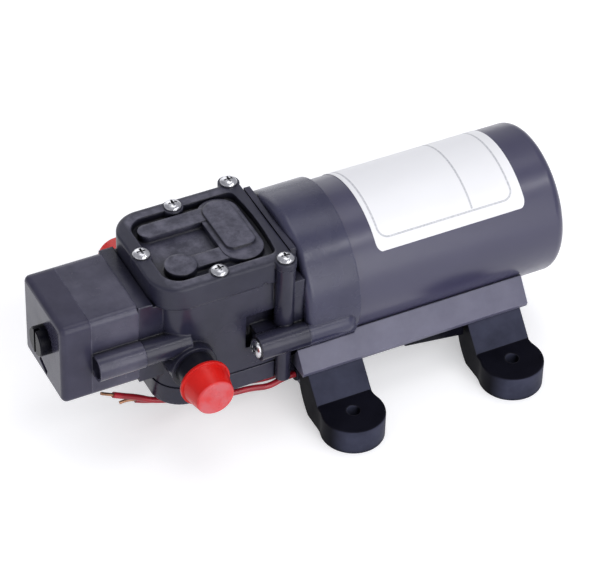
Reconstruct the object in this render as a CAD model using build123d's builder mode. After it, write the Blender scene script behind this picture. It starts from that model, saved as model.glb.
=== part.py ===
from build123d import *
import math
import os

# Caravan water pump: a small 12 volt diaphragm pump with a pressure switch in front and its motor behind.
# +X runs from the switch to the motor's closed end, +Z is up, and Z = 0 is the floor under the rubber feet.

# Clearances and cutting overrun
running_gap = 0.04
close_gap = 0.1
loose_gap = 0.3
overrun = 1.0

# Stations along X, from the pressure switch to the motor's end
pump_length = 162.0
nub_proud = 3.3
switch_cap_length = 9.2
switch_body_length = 14.9
flange_length = 4.6
head_overhang = 1.6
head_length = 49.7
bell_length = 17.2
port_distance = 14.5
crank_margin = 16.3

front_x = (nub_proud - pump_length) / 2
cap_seam_x = front_x + switch_cap_length
switch_seam_x = cap_seam_x + switch_body_length
cover_left_x = switch_seam_x + flange_length
head_left_x = cover_left_x + head_overhang
head_right_x = switch_seam_x + head_length
bell_right_x = head_right_x + bell_length
motor_end_x = front_x + pump_length
port_x = switch_seam_x + port_distance
crank_x = head_right_x - crank_margin

# Heights: the feet carry the motor's axis, and the rest hangs on it
axis_height = 35.6
head_drop = 23.6
base_thickness = 6.4
head_rise = 14.6
cover_height = 7.8
port_drop = 6.8

head_bottom = axis_height - head_drop
head_top = axis_height + head_rise
port_height = axis_height - port_drop
base_top = head_bottom + base_thickness
cover_top = head_top + cover_height

# Motor
can_radius = 23.55
can_wall = 1.6
can_end_wall = 2.0
can_end_round = 3.0
bell_step = 1.55
bell_wall = 5.1
bell_front_wall = 3.2
bell_edge_round = 2.4
spigot_length = 5.0
shaft_radius = 2.5
bush_radius = 4.5
bush_wall = 2.5
front_bush_length = 6.0
rear_bush_length = 5.0
air_gap = 1.65
core_end_margin = 17.0
core_start = 9.0
pole_count = 5
magnet_thickness = 4.6
magnet_overlap = 4.0
magnet_split = 14.0
commutator_margin = 1.8
commutator_radius = 6.0
commutator_length = 9.0
brush_spring_room = 4.35
brush_width = 5.5
brush_height = 5.0
holder_margin = 1.8

# Crank and diaphragm
crank_throw = 1.5
crank_pin_radius = 5.5
crank_pin_length = 7.2
crank_hub_radius = 6.6
crank_hub_length = 7.4
bearing_width = 6.0
bearing_ring = 0.88
bearing_ball_radius = 0.72
bearing_ball_count = 12
rod_ring_wall = 1.6
rod_seat_radius = 4.5
diaphragm_radius = 11.0
diaphragm_thickness = 1.2
diaphragm_bore_radius = 9.0
washer_radius = 4.0
washer_thickness = 0.8
chamber_radius = 8.8
chamber_depth = 2.4
valve_plate_thickness = 3.8
valve_spread = 6.0
valve_radius = 2.3
valve_thickness = 0.8
valve_stem_radius = 0.65
valve_bulb_radius = 1.1
valve_bulb_height = 0.75
valve_lift = 0.5

# Pump head and top cover
head_half_width = 18.2
head_corner = 9.0
cover_half_width = 19.2
cover_right_margin = 2.2
cover_edge_round = 0.9
rim_width = 3.8
recess_depth = 2.7
recess_bulge = 1.2
cover_skin = 1.2
ear_radius = 3.3
ear_thickness = 2.4
corner_screw_margin = 5.2
middle_screw_margin = 24.9
middle_screw_side = 16.1
front_screw_margin = 2.8
screw_boss_radius = 3.1
side_boss_radius = 3.6
head_boss_radius = 4.0
side_boss_side = 23.4
side_boss_drop = 4.8
side_boss_length = 15.8

# Screws
screw_shaft_radius = 1.2
screw_head_radius = 2.6
screw_head_height = 1.5
screw_dome = 0.45
cross_length = 2.7
cross_width = 0.65
cross_depth = 0.8

# Ports and their transport caps
port_boss_radius = 7.2
port_boss_reach = 21.5
port_socket_radius = 4.7
port_shoulder_radius = 5.9
port_spigot_radius = 5.3
port_spigot_length = 5.8
port_bore_radius = 3.4
port_channel_radius = 2.2
port_channel_side = 10.0
transport_cap_start = 28.0
transport_cap_length = 8.0
transport_cap_rim_radius = 7.8
transport_cap_root_radius = 7.4
transport_cap_end_radius = 5.9
transport_cap_wall = 0.9
transport_cap_end_wall = 1.26
transport_cap_lip = 0.9

# Pressure switch
switch_width = 28.4
switch_height = 28.6
switch_centre_rise = 1.4
switch_wall = 2.1
switch_edge_round = 2.2
switch_front_round = 1.8
switch_axis_side = 2.0
switch_axis_rise = 3.4
tube_side = 16.2
tube_radius = 4.2
tube_bore_radius = 3.4
tube_bore_length = 9.1
head_tube_length = 14.7
nub_radius = 4.6
adjuster_radius = 3.0
adjuster_reach = 6.8
membrane_radius = 8.2
membrane_thickness = 0.95
plunger_travel = 0.8

# Rail and feet
rail_overlap = 1.8
rail_end_margin = 13.5
rail_top_rise = 11.95
rail_top_inset = 2.35
rail_edge_rise = 4.95
rail_edge_proud = 2.85
rail_underside_rise = 3.55
rail_lip = 0.4
rail_block_side = 15.0
rail_block_depth = 4.65
foot_width = 18.2
foot_pad_radius = 9.8
foot_pad_thickness = 8.4
foot_hole_radius = 2.1
foot_hole_reach = 11.9
front_foot_margin = 9.0
rear_foot_margin = 11.5

# Leads
lead_radius = 0.95
lead_spread = 1.1
lead_inset = 0.8
lead_core_radius = 0.5
gland_radius = 2.5
gland_margin = 0.4
gland_collar_length = 0.8
gland_body_length = 3.5

# Sizes that follow from the can
bell_radius = can_radius + bell_step
bell_bore_radius = bell_radius - bell_wall
can_bore_radius = can_radius - can_wall
core_radius = can_bore_radius - close_gap - magnet_thickness - air_gap
rail_top_side = can_radius - rail_top_inset
rail_edge_side = can_radius + rail_edge_proud
foot_hole_side = rail_edge_side + foot_hole_reach
holder_outer_side = bell_bore_radius - holder_margin
lead_side = holder_outer_side - lead_inset

# Heights that follow from the axis
can_bottom = axis_height - can_radius
side_boss_height = axis_height - side_boss_drop
switch_centre_height = axis_height + switch_centre_rise
switch_axis_height = axis_height + switch_axis_rise
rail_top = can_bottom + rail_top_rise
rail_edge_height = can_bottom + rail_edge_rise
rail_underside = can_bottom + rail_underside_rise
rail_block_bottom = can_bottom - rail_block_depth
gland_collar_radius = gland_radius + gland_margin
lead_height = rail_block_bottom + gland_collar_radius

os.makedirs("parts", exist_ok=True)


def finish(builder, name):
    builder.part.label = name
    export_step(builder.part, "parts/" + name + ".step")


def bar_x(radius, start, end, y=0, z=0, mode=Mode.ADD):
    with BuildSketch(Plane.YZ.offset(start)) as disc:
        with Locations((y, z)):
            Circle(radius)
    extrude(disc.sketch, amount=end - start, mode=mode)


def bar_y(radius, start, end, x, z, mode=Mode.ADD):
    low = min(start, end)
    with BuildSketch(Plane.XZ.offset(-low)) as disc:
        with Locations((x, z)):
            Circle(radius)
    extrude(disc.sketch, amount=-abs(end - start), mode=mode)


def bar_z(radius, start, end, x, y, mode=Mode.ADD):
    with BuildSketch(Plane.XY.offset(start)) as disc:
        with Locations((x, y)):
            Circle(radius)
    extrude(disc.sketch, amount=end - start, mode=mode)


def block(x_range, y_range, z_range, mode=Mode.ADD):
    with BuildSketch(Plane.XY.offset(z_range[0])) as footprint:
        with Locations((sum(x_range) / 2, sum(y_range) / 2)):
            Rectangle(x_range[1] - x_range[0], abs(y_range[1] - y_range[0]))
    extrude(footprint.sketch, amount=z_range[1] - z_range[0], mode=mode)


def mirrored(side, low, high):
    return (low, high) if side > 0 else (-high, -low)


# A flat outline with its two left corners rounded
def rounded_outline(height, left, right, half_width, corner):
    with BuildSketch(Plane.XY.offset(height)) as outline:
        with Locations(((left + right) / 2, 0)):
            Rectangle(right - left, 2 * half_width)
        fillet(outline.vertices().group_by(Axis.X)[0], corner)
    return outline.sketch


# A pan head screw with a cross recess: the seat plane's normal points out of the head
def pan_screw(seat, length, head_radius=screw_head_radius, shaft_radius=screw_shaft_radius):
    with BuildSketch(Plane(seat.origin, x_dir=seat.x_dir, z_dir=-seat.y_dir)) as half:
        with BuildLine():
            Polyline(
                (0, screw_head_height),
                (0, -length),
                (shaft_radius / 2, -length),
                (shaft_radius, shaft_radius / 2 - length),
                (shaft_radius, 0),
                (head_radius, 0),
                (head_radius, screw_head_height - 2 * screw_dome),
            )
            ThreePointArc(
                (head_radius, screw_head_height - 2 * screw_dome),
                (head_radius * math.cos(math.radians(45)), screw_head_height - screw_dome / 2),
                (0, screw_head_height),
            )
        make_face()
    revolve(half.sketch, axis=Axis(seat.origin, seat.z_dir))
    with BuildSketch(seat.offset(screw_head_height - cross_depth)) as cross:
        Rectangle(cross_length, cross_width)
        Rectangle(cross_width, cross_length)
    extrude(cross.sketch, amount=cross_depth + overrun, mode=Mode.SUBTRACT)


def seat_up(x, y, z):
    return Plane((x, y, z), x_dir=(1, 0, 0), z_dir=(0, 0, 1))


def seat_down(x, y, z):
    return Plane((x, y, z), x_dir=(1, 0, 0), z_dir=(0, 0, -1))


def seat_front(x, y, z):
    return Plane((x, y, z), x_dir=(0, 1, 0), z_dir=(-1, 0, 0))


# Places shared by the cover, the head and their screws
corner_screw_x = head_right_x - corner_screw_margin
corner_screw_places = [(corner_screw_x, side * cover_half_width) for side in (-1, 1)]
middle_screw_x = head_right_x - middle_screw_margin
middle_screw_places = [(middle_screw_x, side * middle_screw_side) for side in (-1, 1)]
front_screw_place = (cover_left_x + front_screw_margin, 0)
cover_screw_places = middle_screw_places + [front_screw_place]
cover_right_x = head_right_x - cover_right_margin

# Vertical stack over the crank
diaphragm_bottom = head_top - diaphragm_thickness
pin_height = axis_height + crank_throw
rod_bore_radius = crank_pin_radius + 2 * bearing_ring + 2 * bearing_ball_radius + 4 * running_gap
rod_ring_radius = rod_bore_radius + rod_ring_wall
chamber_ceiling = head_top + chamber_depth
valve_plate_top = head_top + valve_plate_thickness
recess_floor = cover_top - recess_depth
cover_ceiling = valve_plate_top + close_gap
crankcase_radius = rod_ring_radius + crank_throw + loose_gap
valve_x = crank_x + running_gap

# Motor places
shaft_start_x = crank_x - crank_pin_length / 2
rear_bush_end = motor_end_x - can_end_wall
rear_bush_start = rear_bush_end - rear_bush_length
front_bush_start = head_right_x + bush_wall / 2
front_bush_end = front_bush_start + front_bush_length
core_left_x = bell_right_x + core_start
core_right_x = rear_bush_start - core_end_margin
commutator_right_x = bell_right_x + commutator_margin
commutator_left_x = commutator_right_x - commutator_length
card_thickness = 1.6
card_left_x = front_bush_end + loose_gap
brush_x = commutator_left_x + brush_width / 2 + card_thickness / 2


def make_motor_can():
    with BuildPart() as motor_can:
        bar_x(can_radius, bell_right_x, motor_end_x, z=axis_height)
        rim = motor_can.faces().sort_by(Axis.X)[-1].edges()
        fillet(rim, can_end_round)
        bar_x(can_bore_radius, bell_right_x, rear_bush_end, z=axis_height, mode=Mode.SUBTRACT)
        bar_x(bush_radius + bush_wall, rear_bush_start, rear_bush_end, z=axis_height)
        bar_x(bush_radius, rear_bush_start, rear_bush_end, z=axis_height, mode=Mode.SUBTRACT)
        bar_z(
            screw_shaft_radius + close_gap,
            axis_height - can_radius - overrun,
            axis_height - can_bore_radius + overrun,
            rear_rail_screw_x,
            0,
            mode=Mode.SUBTRACT,
        )
    finish(motor_can, "motor_can")


side_screw_engagement = 10.0
lead_hole_radius = 1.4
lead_entry_distance = 13.2
lead_entry_x = head_right_x + lead_entry_distance


def make_motor_bell():
    with BuildPart() as motor_bell:
        bar_x(bell_radius, head_right_x, bell_right_x, z=axis_height)
        rim = motor_bell.faces().sort_by(Axis.X)[0].edges()
        fillet(rim, bell_edge_round)
        bar_x(can_bore_radius - running_gap, bell_right_x, bell_right_x + spigot_length, z=axis_height)
        for side in (-1, 1):
            round_start = bell_right_x - running_gap - side_boss_radius - overrun
            bar_x(
                side_boss_radius, head_right_x, round_start, side * side_boss_side, side_boss_height
            )
            with Locations((round_start, side * side_boss_side, side_boss_height)):
                Sphere(side_boss_radius)
        cavity_start = head_right_x + bell_front_wall
        bar_x(
            bell_bore_radius,
            cavity_start,
            bell_right_x + spigot_length,
            z=axis_height,
            mode=Mode.SUBTRACT,
        )
        bar_x(bush_radius + bush_wall, cavity_start - running_gap, front_bush_end, z=axis_height)
        bar_x(bush_radius, front_bush_start, front_bush_end, z=axis_height, mode=Mode.SUBTRACT)
        bar_x(
            shaft_radius + loose_gap,
            head_right_x,
            front_bush_start,
            z=axis_height,
            mode=Mode.SUBTRACT,
        )
        for side in (-1, 1):
            bar_x(
                screw_shaft_radius + close_gap,
                head_right_x,
                head_right_x + side_screw_engagement,
                side * side_boss_side,
                side_boss_height,
                mode=Mode.SUBTRACT,
            )
        for offset in (-lead_spread, lead_spread):
            bar_z(
                lead_hole_radius,
                lead_height,
                axis_height - brush_height,
                lead_entry_x,
                offset - lead_side,
                mode=Mode.SUBTRACT,
            )
        bar_z(
            screw_shaft_radius + close_gap,
            axis_height - bell_radius - overrun,
            axis_height - bell_radius + rail_screw_engagement,
            front_rail_screw_x,
            0,
            mode=Mode.SUBTRACT,
        )
    finish(motor_bell, "motor_bell")


def make_bushes():
    for name, start, end in (
        ("front_bush", front_bush_start, front_bush_end),
        ("rear_bush", rear_bush_start, rear_bush_end),
    ):
        with BuildPart() as bush:
            bar_x(bush_radius - running_gap / 2, start, end, z=axis_height)
            bar_x(shaft_radius + running_gap, start, end, z=axis_height, mode=Mode.SUBTRACT)
        finish(bush, name)


def make_shaft():
    with BuildPart() as motor_shaft:
        bar_x(shaft_radius, shaft_start_x, rear_bush_end - loose_gap, z=axis_height)
        chamfer(motor_shaft.faces().sort_by(Axis.X)[0].edges(), loose_gap)
    finish(motor_shaft, "motor_shaft")


slot_pocket_radius = 3.4
slot_mouth_width = 2.2
slot_depth = 5.4
slot_circle_radius = core_radius - slot_depth
winding_gap = 0.2
winding_end_length = 3.4


def slot_angles():
    return [360 * (index + 0.5) / pole_count for index in range(pole_count)]


def slot_centre(angle):
    y = slot_circle_radius * math.sin(math.radians(angle))
    z = axis_height + slot_circle_radius * math.cos(math.radians(angle))
    return y, z


def make_armature():
    with BuildPart() as armature_core:
        bar_x(core_radius, core_left_x, core_right_x, z=axis_height)
        bar_x(
            shaft_radius + running_gap / 2,
            core_left_x,
            core_right_x,
            z=axis_height,
            mode=Mode.SUBTRACT,
        )
        for angle in slot_angles():
            y, z = slot_centre(angle)
            bar_x(slot_pocket_radius, core_left_x, core_right_x, y, z, mode=Mode.SUBTRACT)
            with BuildSketch(Plane.YZ.offset(core_left_x)) as mouth:
                with Locations(Location((0, axis_height), 90 - angle)):
                    with Locations((slot_circle_radius + slot_pocket_radius, 0)):
                        Rectangle(2 * slot_pocket_radius, slot_mouth_width)
            extrude(mouth.sketch, amount=core_right_x - core_left_x, mode=Mode.SUBTRACT)
    finish(armature_core, "armature_core")

    with BuildPart() as armature_windings:
        for angle in slot_angles():
            y, z = slot_centre(angle)
            bar_x(
                slot_pocket_radius - winding_gap,
                core_left_x - winding_gap - winding_end_length / 2,
                core_right_x + winding_gap + winding_end_length / 2,
                y,
                z,
            )
        for start, end in (
            (core_left_x - winding_gap - winding_end_length, core_left_x - winding_gap),
            (core_right_x + winding_gap, core_right_x + winding_gap + winding_end_length),
        ):
            with BuildSketch(Plane.YZ.offset(start)) as end_turns:
                with Locations((0, axis_height)):
                    Circle(slot_circle_radius + slot_pocket_radius)
                    Circle(slot_circle_radius - slot_pocket_radius, mode=Mode.SUBTRACT)
            extrude(end_turns.sketch, amount=end - start)
    finish(armature_windings, "armature_windings")


segment_gap = 0.5
segment_depth = 0.8


def make_commutator():
    with BuildPart() as commutator:
        bar_x(commutator_radius, commutator_left_x, commutator_right_x, z=axis_height)
        with BuildSketch(Plane.YZ.offset(commutator_left_x)) as grooves:
            with Locations((0, axis_height)):
                with PolarLocations(commutator_radius, pole_count):
                    Rectangle(2 * segment_depth, segment_gap)
        extrude(grooves.sketch, amount=commutator_length, mode=Mode.SUBTRACT)
        bar_x(
            shaft_radius + running_gap / 2,
            commutator_left_x,
            commutator_right_x,
            z=axis_height,
            mode=Mode.SUBTRACT,
        )
    finish(commutator, "commutator")


holder_wall = 0.8
holder_inner_side = 8.2
holder_half_height = brush_height / 2 + close_gap + holder_wall
card_margin = 0.4


def make_brush_gear():
    brush_start = commutator_radius + close_gap / 2
    brush_end = holder_outer_side - holder_wall - brush_spring_room
    with BuildPart() as brush_card:
        bar_x(
            bell_bore_radius - card_margin,
            card_left_x,
            card_left_x + card_thickness,
            z=axis_height,
        )
        bar_x(
            bush_radius + bush_wall + close_gap,
            card_left_x,
            card_left_x + card_thickness,
            z=axis_height,
            mode=Mode.SUBTRACT,
        )
        for side in (-1, 1):
            block(
                (card_left_x, brush_x + brush_width / 2 + close_gap + holder_wall),
                mirrored(side, holder_inner_side, holder_outer_side),
                (axis_height - holder_half_height, axis_height + holder_half_height),
            )
            block(
                (brush_x - brush_width / 2 - close_gap, brush_x + brush_width / 2 + close_gap),
                mirrored(side, holder_inner_side - overrun, holder_outer_side - holder_wall),
                (axis_height - brush_height / 2 - close_gap, axis_height + brush_height / 2 + close_gap),
                mode=Mode.SUBTRACT,
            )
    finish(brush_card, "brush_card")

    with BuildPart() as brushes:
        for side in (-1, 1):
            block(
                (brush_x - brush_width / 2, brush_x + brush_width / 2),
                mirrored(side, brush_start, brush_end),
                (axis_height - brush_height / 2, axis_height + brush_height / 2),
            )
    finish(brushes, "brushes")

    with BuildPart() as brush_springs:
        for side in (-1, 1):
            coil(
                Plane((brush_x, side * brush_end, axis_height), x_dir=(1, 0, 0), z_dir=(0, side, 0)),
                brush_spring_radius,
                brush_spring_wire,
                brush_spring_room,
                brush_spring_turns,
            )
    finish(brush_springs, "brush_springs")


brush_spring_radius = 1.7
brush_spring_wire = 0.2
brush_spring_turns = 3


# A compression spring as one unbroken tube that climbs in a helix between its two ends
def coil(seat, radius, wire_radius, length, turns):
    climb = length - 2 * wire_radius
    base = seat.offset(wire_radius).origin
    with BuildLine() as path:
        Helix(climb / turns, climb, radius, center=base, direction=seat.z_dir)
    wire = path.wire()
    with BuildSketch(Plane(origin=wire @ 0, z_dir=wire % 0)) as section:
        Circle(wire_radius)
    sweep(section.sketch, path=wire, is_frenet=True)


def make_magnets():
    outer = can_bore_radius - close_gap
    start = bell_right_x + spigot_length + overrun
    with BuildPart() as field_magnets:
        with BuildSketch(Plane.YZ.offset(start)) as arcs:
            with Locations((0, axis_height)):
                Circle(outer)
                Circle(outer - magnet_thickness, mode=Mode.SUBTRACT)
                Rectangle(2 * can_radius, magnet_split, mode=Mode.SUBTRACT)
        extrude(arcs.sketch, amount=core_right_x + magnet_overlap - start)
    finish(field_magnets, "field_magnets")


label_start = 8.2
label_end_margin = 12.6
label_half_angle = 54.0
label_thickness = 0.12
label_corner = 1.8


# A thin blank label that wraps over the top of the can
def make_label():
    left = bell_right_x + label_start
    right = motor_end_x - label_end_margin
    inner = can_radius + running_gap
    outer = inner + label_thickness
    half_width = outer * math.sin(math.radians(label_half_angle))
    with BuildPart() as motor_label:
        ring_x(outer, inner, left, right, axis_height)
        with BuildSketch(Plane.XY.offset(axis_height)) as outline:
            with Locations(((left + right) / 2, 0)):
                RectangleRounded(right - left, 2 * half_width, label_corner)
        extrude(outline.sketch, amount=outer + overrun, mode=Mode.INTERSECT)
    finish(motor_label, "motor_label")


grub_radius = 1.2


def make_crank():
    hub_start = shaft_start_x + crank_pin_length
    grub_x = hub_start + crank_hub_length / 2
    with BuildPart() as eccentric:
        bar_x(crank_pin_radius, shaft_start_x, hub_start, z=pin_height)
        bar_x(crank_hub_radius, hub_start, hub_start + crank_hub_length, z=axis_height)
        bar_x(
            shaft_radius + running_gap / 2,
            shaft_start_x,
            hub_start + crank_hub_length,
            z=axis_height,
            mode=Mode.SUBTRACT,
        )
        bar_z(
            grub_radius,
            axis_height,
            axis_height + crank_hub_radius + overrun,
            grub_x,
            0,
            mode=Mode.SUBTRACT,
        )
    finish(eccentric, "eccentric")

    with BuildPart() as eccentric_grub_screw:
        low = axis_height + shaft_radius + running_gap
        high = axis_height + crank_hub_radius - loose_gap
        bar_z(grub_radius - running_gap, low, high, grub_x, 0)
        with BuildSketch(Plane.XY.offset(high - grub_radius)) as socket:
            with Locations((grub_x, 0)):
                RegularPolygon(grub_radius / 2, 6)
        extrude(socket.sketch, amount=grub_radius + overrun, mode=Mode.SUBTRACT)
    finish(eccentric_grub_screw, "eccentric_grub_screw")


def ring_x(outer, inner, start, end, z):
    with BuildSketch(Plane.YZ.offset(start)) as ring:
        with Locations((0, z)):
            Circle(outer)
            Circle(inner, mode=Mode.SUBTRACT)
    extrude(ring.sketch, amount=end - start)


def make_rod():
    start = crank_x - bearing_width / 2
    end = crank_x + bearing_width / 2
    inner_race = crank_pin_radius + bearing_ring
    outer_race = rod_bore_radius - bearing_ring

    with BuildPart() as rod_bearing_inner:
        ring_x(inner_race, crank_pin_radius + running_gap / 2, start, end, pin_height)
    finish(rod_bearing_inner, "rod_bearing_inner")

    with BuildPart() as rod_bearing_outer:
        ring_x(rod_bore_radius - running_gap / 2, outer_race, start, end, pin_height)
    finish(rod_bearing_outer, "rod_bearing_outer")

    with BuildPart() as rod_bearing_balls:
        pitch_radius = (inner_race + outer_race) / 2
        for index in range(bearing_ball_count):
            angle = 2 * math.pi * index / bearing_ball_count
            y = pitch_radius * math.sin(angle)
            z = pin_height + pitch_radius * math.cos(angle)
            with Locations((crank_x, y, z)):
                Sphere(bearing_ball_radius)
    finish(rod_bearing_balls, "rod_bearing_balls")

    with BuildPart() as connecting_rod:
        bar_x(rod_ring_radius, start, end, z=pin_height)
        seat_bottom = diaphragm_bottom - rod_seat_radius / 2
        bar_z(rod_seat_radius, seat_bottom, diaphragm_bottom, crank_x, 0)
        block(
            (start, end),
            (-rod_seat_radius / 2, rod_seat_radius / 2),
            (pin_height + rod_bore_radius, diaphragm_bottom - overrun / 2),
        )
        bar_x(rod_bore_radius, start - overrun, end + overrun, z=pin_height, mode=Mode.SUBTRACT)
        bar_z(
            screw_shaft_radius + running_gap,
            diaphragm_bottom - rod_screw_engagement - running_gap,
            diaphragm_bottom,
            crank_x,
            0,
            mode=Mode.SUBTRACT,
        )
    finish(connecting_rod, "connecting_rod")


rod_screw_engagement = 2.4
clamp_screw_head_radius = 2.0
clamp_screw_head_height = 0.6
bead_depth = 0.7
bead_radius = 7.0
bead_width = 1.6


def make_diaphragm():
    with BuildPart() as diaphragm:
        bar_z(diaphragm_radius, diaphragm_bottom, head_top, crank_x, 0)
        for radius, mode in (
            (bead_radius + bead_width / 2, Mode.ADD),
            (bead_radius - bead_width / 2, Mode.SUBTRACT),
        ):
            bar_z(radius, diaphragm_bottom - bead_depth, diaphragm_bottom, crank_x, 0, mode=mode)
        bar_z(
            screw_shaft_radius + close_gap,
            diaphragm_bottom - overrun,
            head_top,
            crank_x,
            0,
            mode=Mode.SUBTRACT,
        )
    finish(diaphragm, "diaphragm")

    with BuildPart() as diaphragm_washer:
        bar_z(washer_radius, head_top, head_top + washer_thickness, crank_x, 0)
        bar_z(
            screw_shaft_radius + close_gap,
            head_top,
            head_top + washer_thickness,
            crank_x,
            0,
            mode=Mode.SUBTRACT,
        )
    finish(diaphragm_washer, "diaphragm_washer")

    with BuildPart() as diaphragm_screw:
        top = head_top + washer_thickness
        bar_z(screw_shaft_radius, diaphragm_bottom - rod_screw_engagement, top, crank_x, 0)
        bar_z(clamp_screw_head_radius, top, top + clamp_screw_head_height, crank_x, 0)
        block(
            (crank_x - clamp_screw_head_radius, crank_x + clamp_screw_head_radius),
            (-cross_width / 2, cross_width / 2),
            (top + clamp_screw_head_height / 2, top + clamp_screw_head_height),
            mode=Mode.SUBTRACT,
        )
    finish(diaphragm_screw, "diaphragm_screw")


cavity_left_gap = 5.5
cavity_right_gap = 2.8
cavity_half_width = 14.6
cavity_corner = 3.0
plate_port_radius = 0.5
plate_port_circle = 1.5
plate_port_count = 4


def cavity_outline(height, gap):
    with BuildSketch(Plane.XY.offset(height)) as outline:
        left = cover_left_x + cavity_left_gap + gap
        right = cover_right_x - cavity_right_gap - gap
        with Locations(((left + right) / 2, 0)):
            RectangleRounded(right - left, 2 * (cavity_half_width - gap), cavity_corner)
    return outline.sketch


def make_valve_plate():
    with BuildPart() as valve_plate:
        extrude(cavity_outline(head_top, close_gap), amount=valve_plate_thickness)
        for x, y in middle_screw_places:
            bar_z(screw_boss_radius, head_top, valve_plate_top, x, y, mode=Mode.SUBTRACT)
        bar_z(chamber_radius, head_top, chamber_ceiling, crank_x, 0, mode=Mode.SUBTRACT)
        for side in (-1, 1):
            bar_z(
                port_channel_radius,
                head_top,
                valve_plate_top,
                port_x,
                side * port_channel_side,
                mode=Mode.SUBTRACT,
            )
            with BuildSketch(Plane.XY.offset(chamber_ceiling)) as ports:
                with Locations((valve_x, side * valve_spread)):
                    Circle(valve_stem_radius + close_gap)
                    with PolarLocations(plate_port_circle, plate_port_count):
                        Circle(plate_port_radius)
            extrude(ports.sketch, amount=valve_plate_top - chamber_ceiling, mode=Mode.SUBTRACT)
    finish(valve_plate, "valve_plate")


def make_valves():
    stem_gap = valve_lift + close_gap / 2
    with BuildPart() as inlet_valve:
        y = -valve_spread
        bar_z(valve_radius, chamber_ceiling - valve_thickness, chamber_ceiling, valve_x, y)
        bar_z(valve_stem_radius, chamber_ceiling, valve_plate_top + stem_gap, valve_x, y)
        bulb = valve_plate_top + stem_gap
        bar_z(valve_bulb_radius, bulb, bulb + valve_bulb_height, valve_x, y)
    finish(inlet_valve, "inlet_valve")

    with BuildPart() as outlet_valve:
        y = valve_spread
        bar_z(valve_radius, valve_plate_top, valve_plate_top + valve_thickness, valve_x, y)
        bar_z(valve_stem_radius, chamber_ceiling - stem_gap, valve_plate_top, valve_x, y)
        bulb = chamber_ceiling - stem_gap
        bar_z(valve_bulb_radius, bulb - valve_bulb_height, bulb, valve_x, y)
    finish(outlet_valve, "outlet_valve")


rear_flange_thickness = 4.0
rear_flange_step = 0.9
rear_flange_half_width = 21.5
rear_flange_drop = 8.6
rear_rib_thickness = 2.0
rear_rib_half_width = 15.6
rear_rib_drop = 0.4
column_low_radius = 2.4
pocket_left_margin = 17.1
pocket_depth = 2.7
pocket_height = 12.2
pocket_drop = 8.6
web_height = 4.8
web_inset = 1.2
pressure_hole_radius = 1.3
pressure_hole_side = 2.5
membrane_chamber_radius = 7.0
membrane_chamber_depth = 1.5
base_screw_distance = 12.0
base_screw_side = 11.0
base_screw_engagement = 4.6
crankcase_margin = 5.5
diaphragm_bore_depth = 6.2
head_screw_depth = 7.0
switch_screw_engagement = 12.6
head_tube_radius = 4.0
socket_depth = 14.3
lug_reach = 12.0


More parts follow.
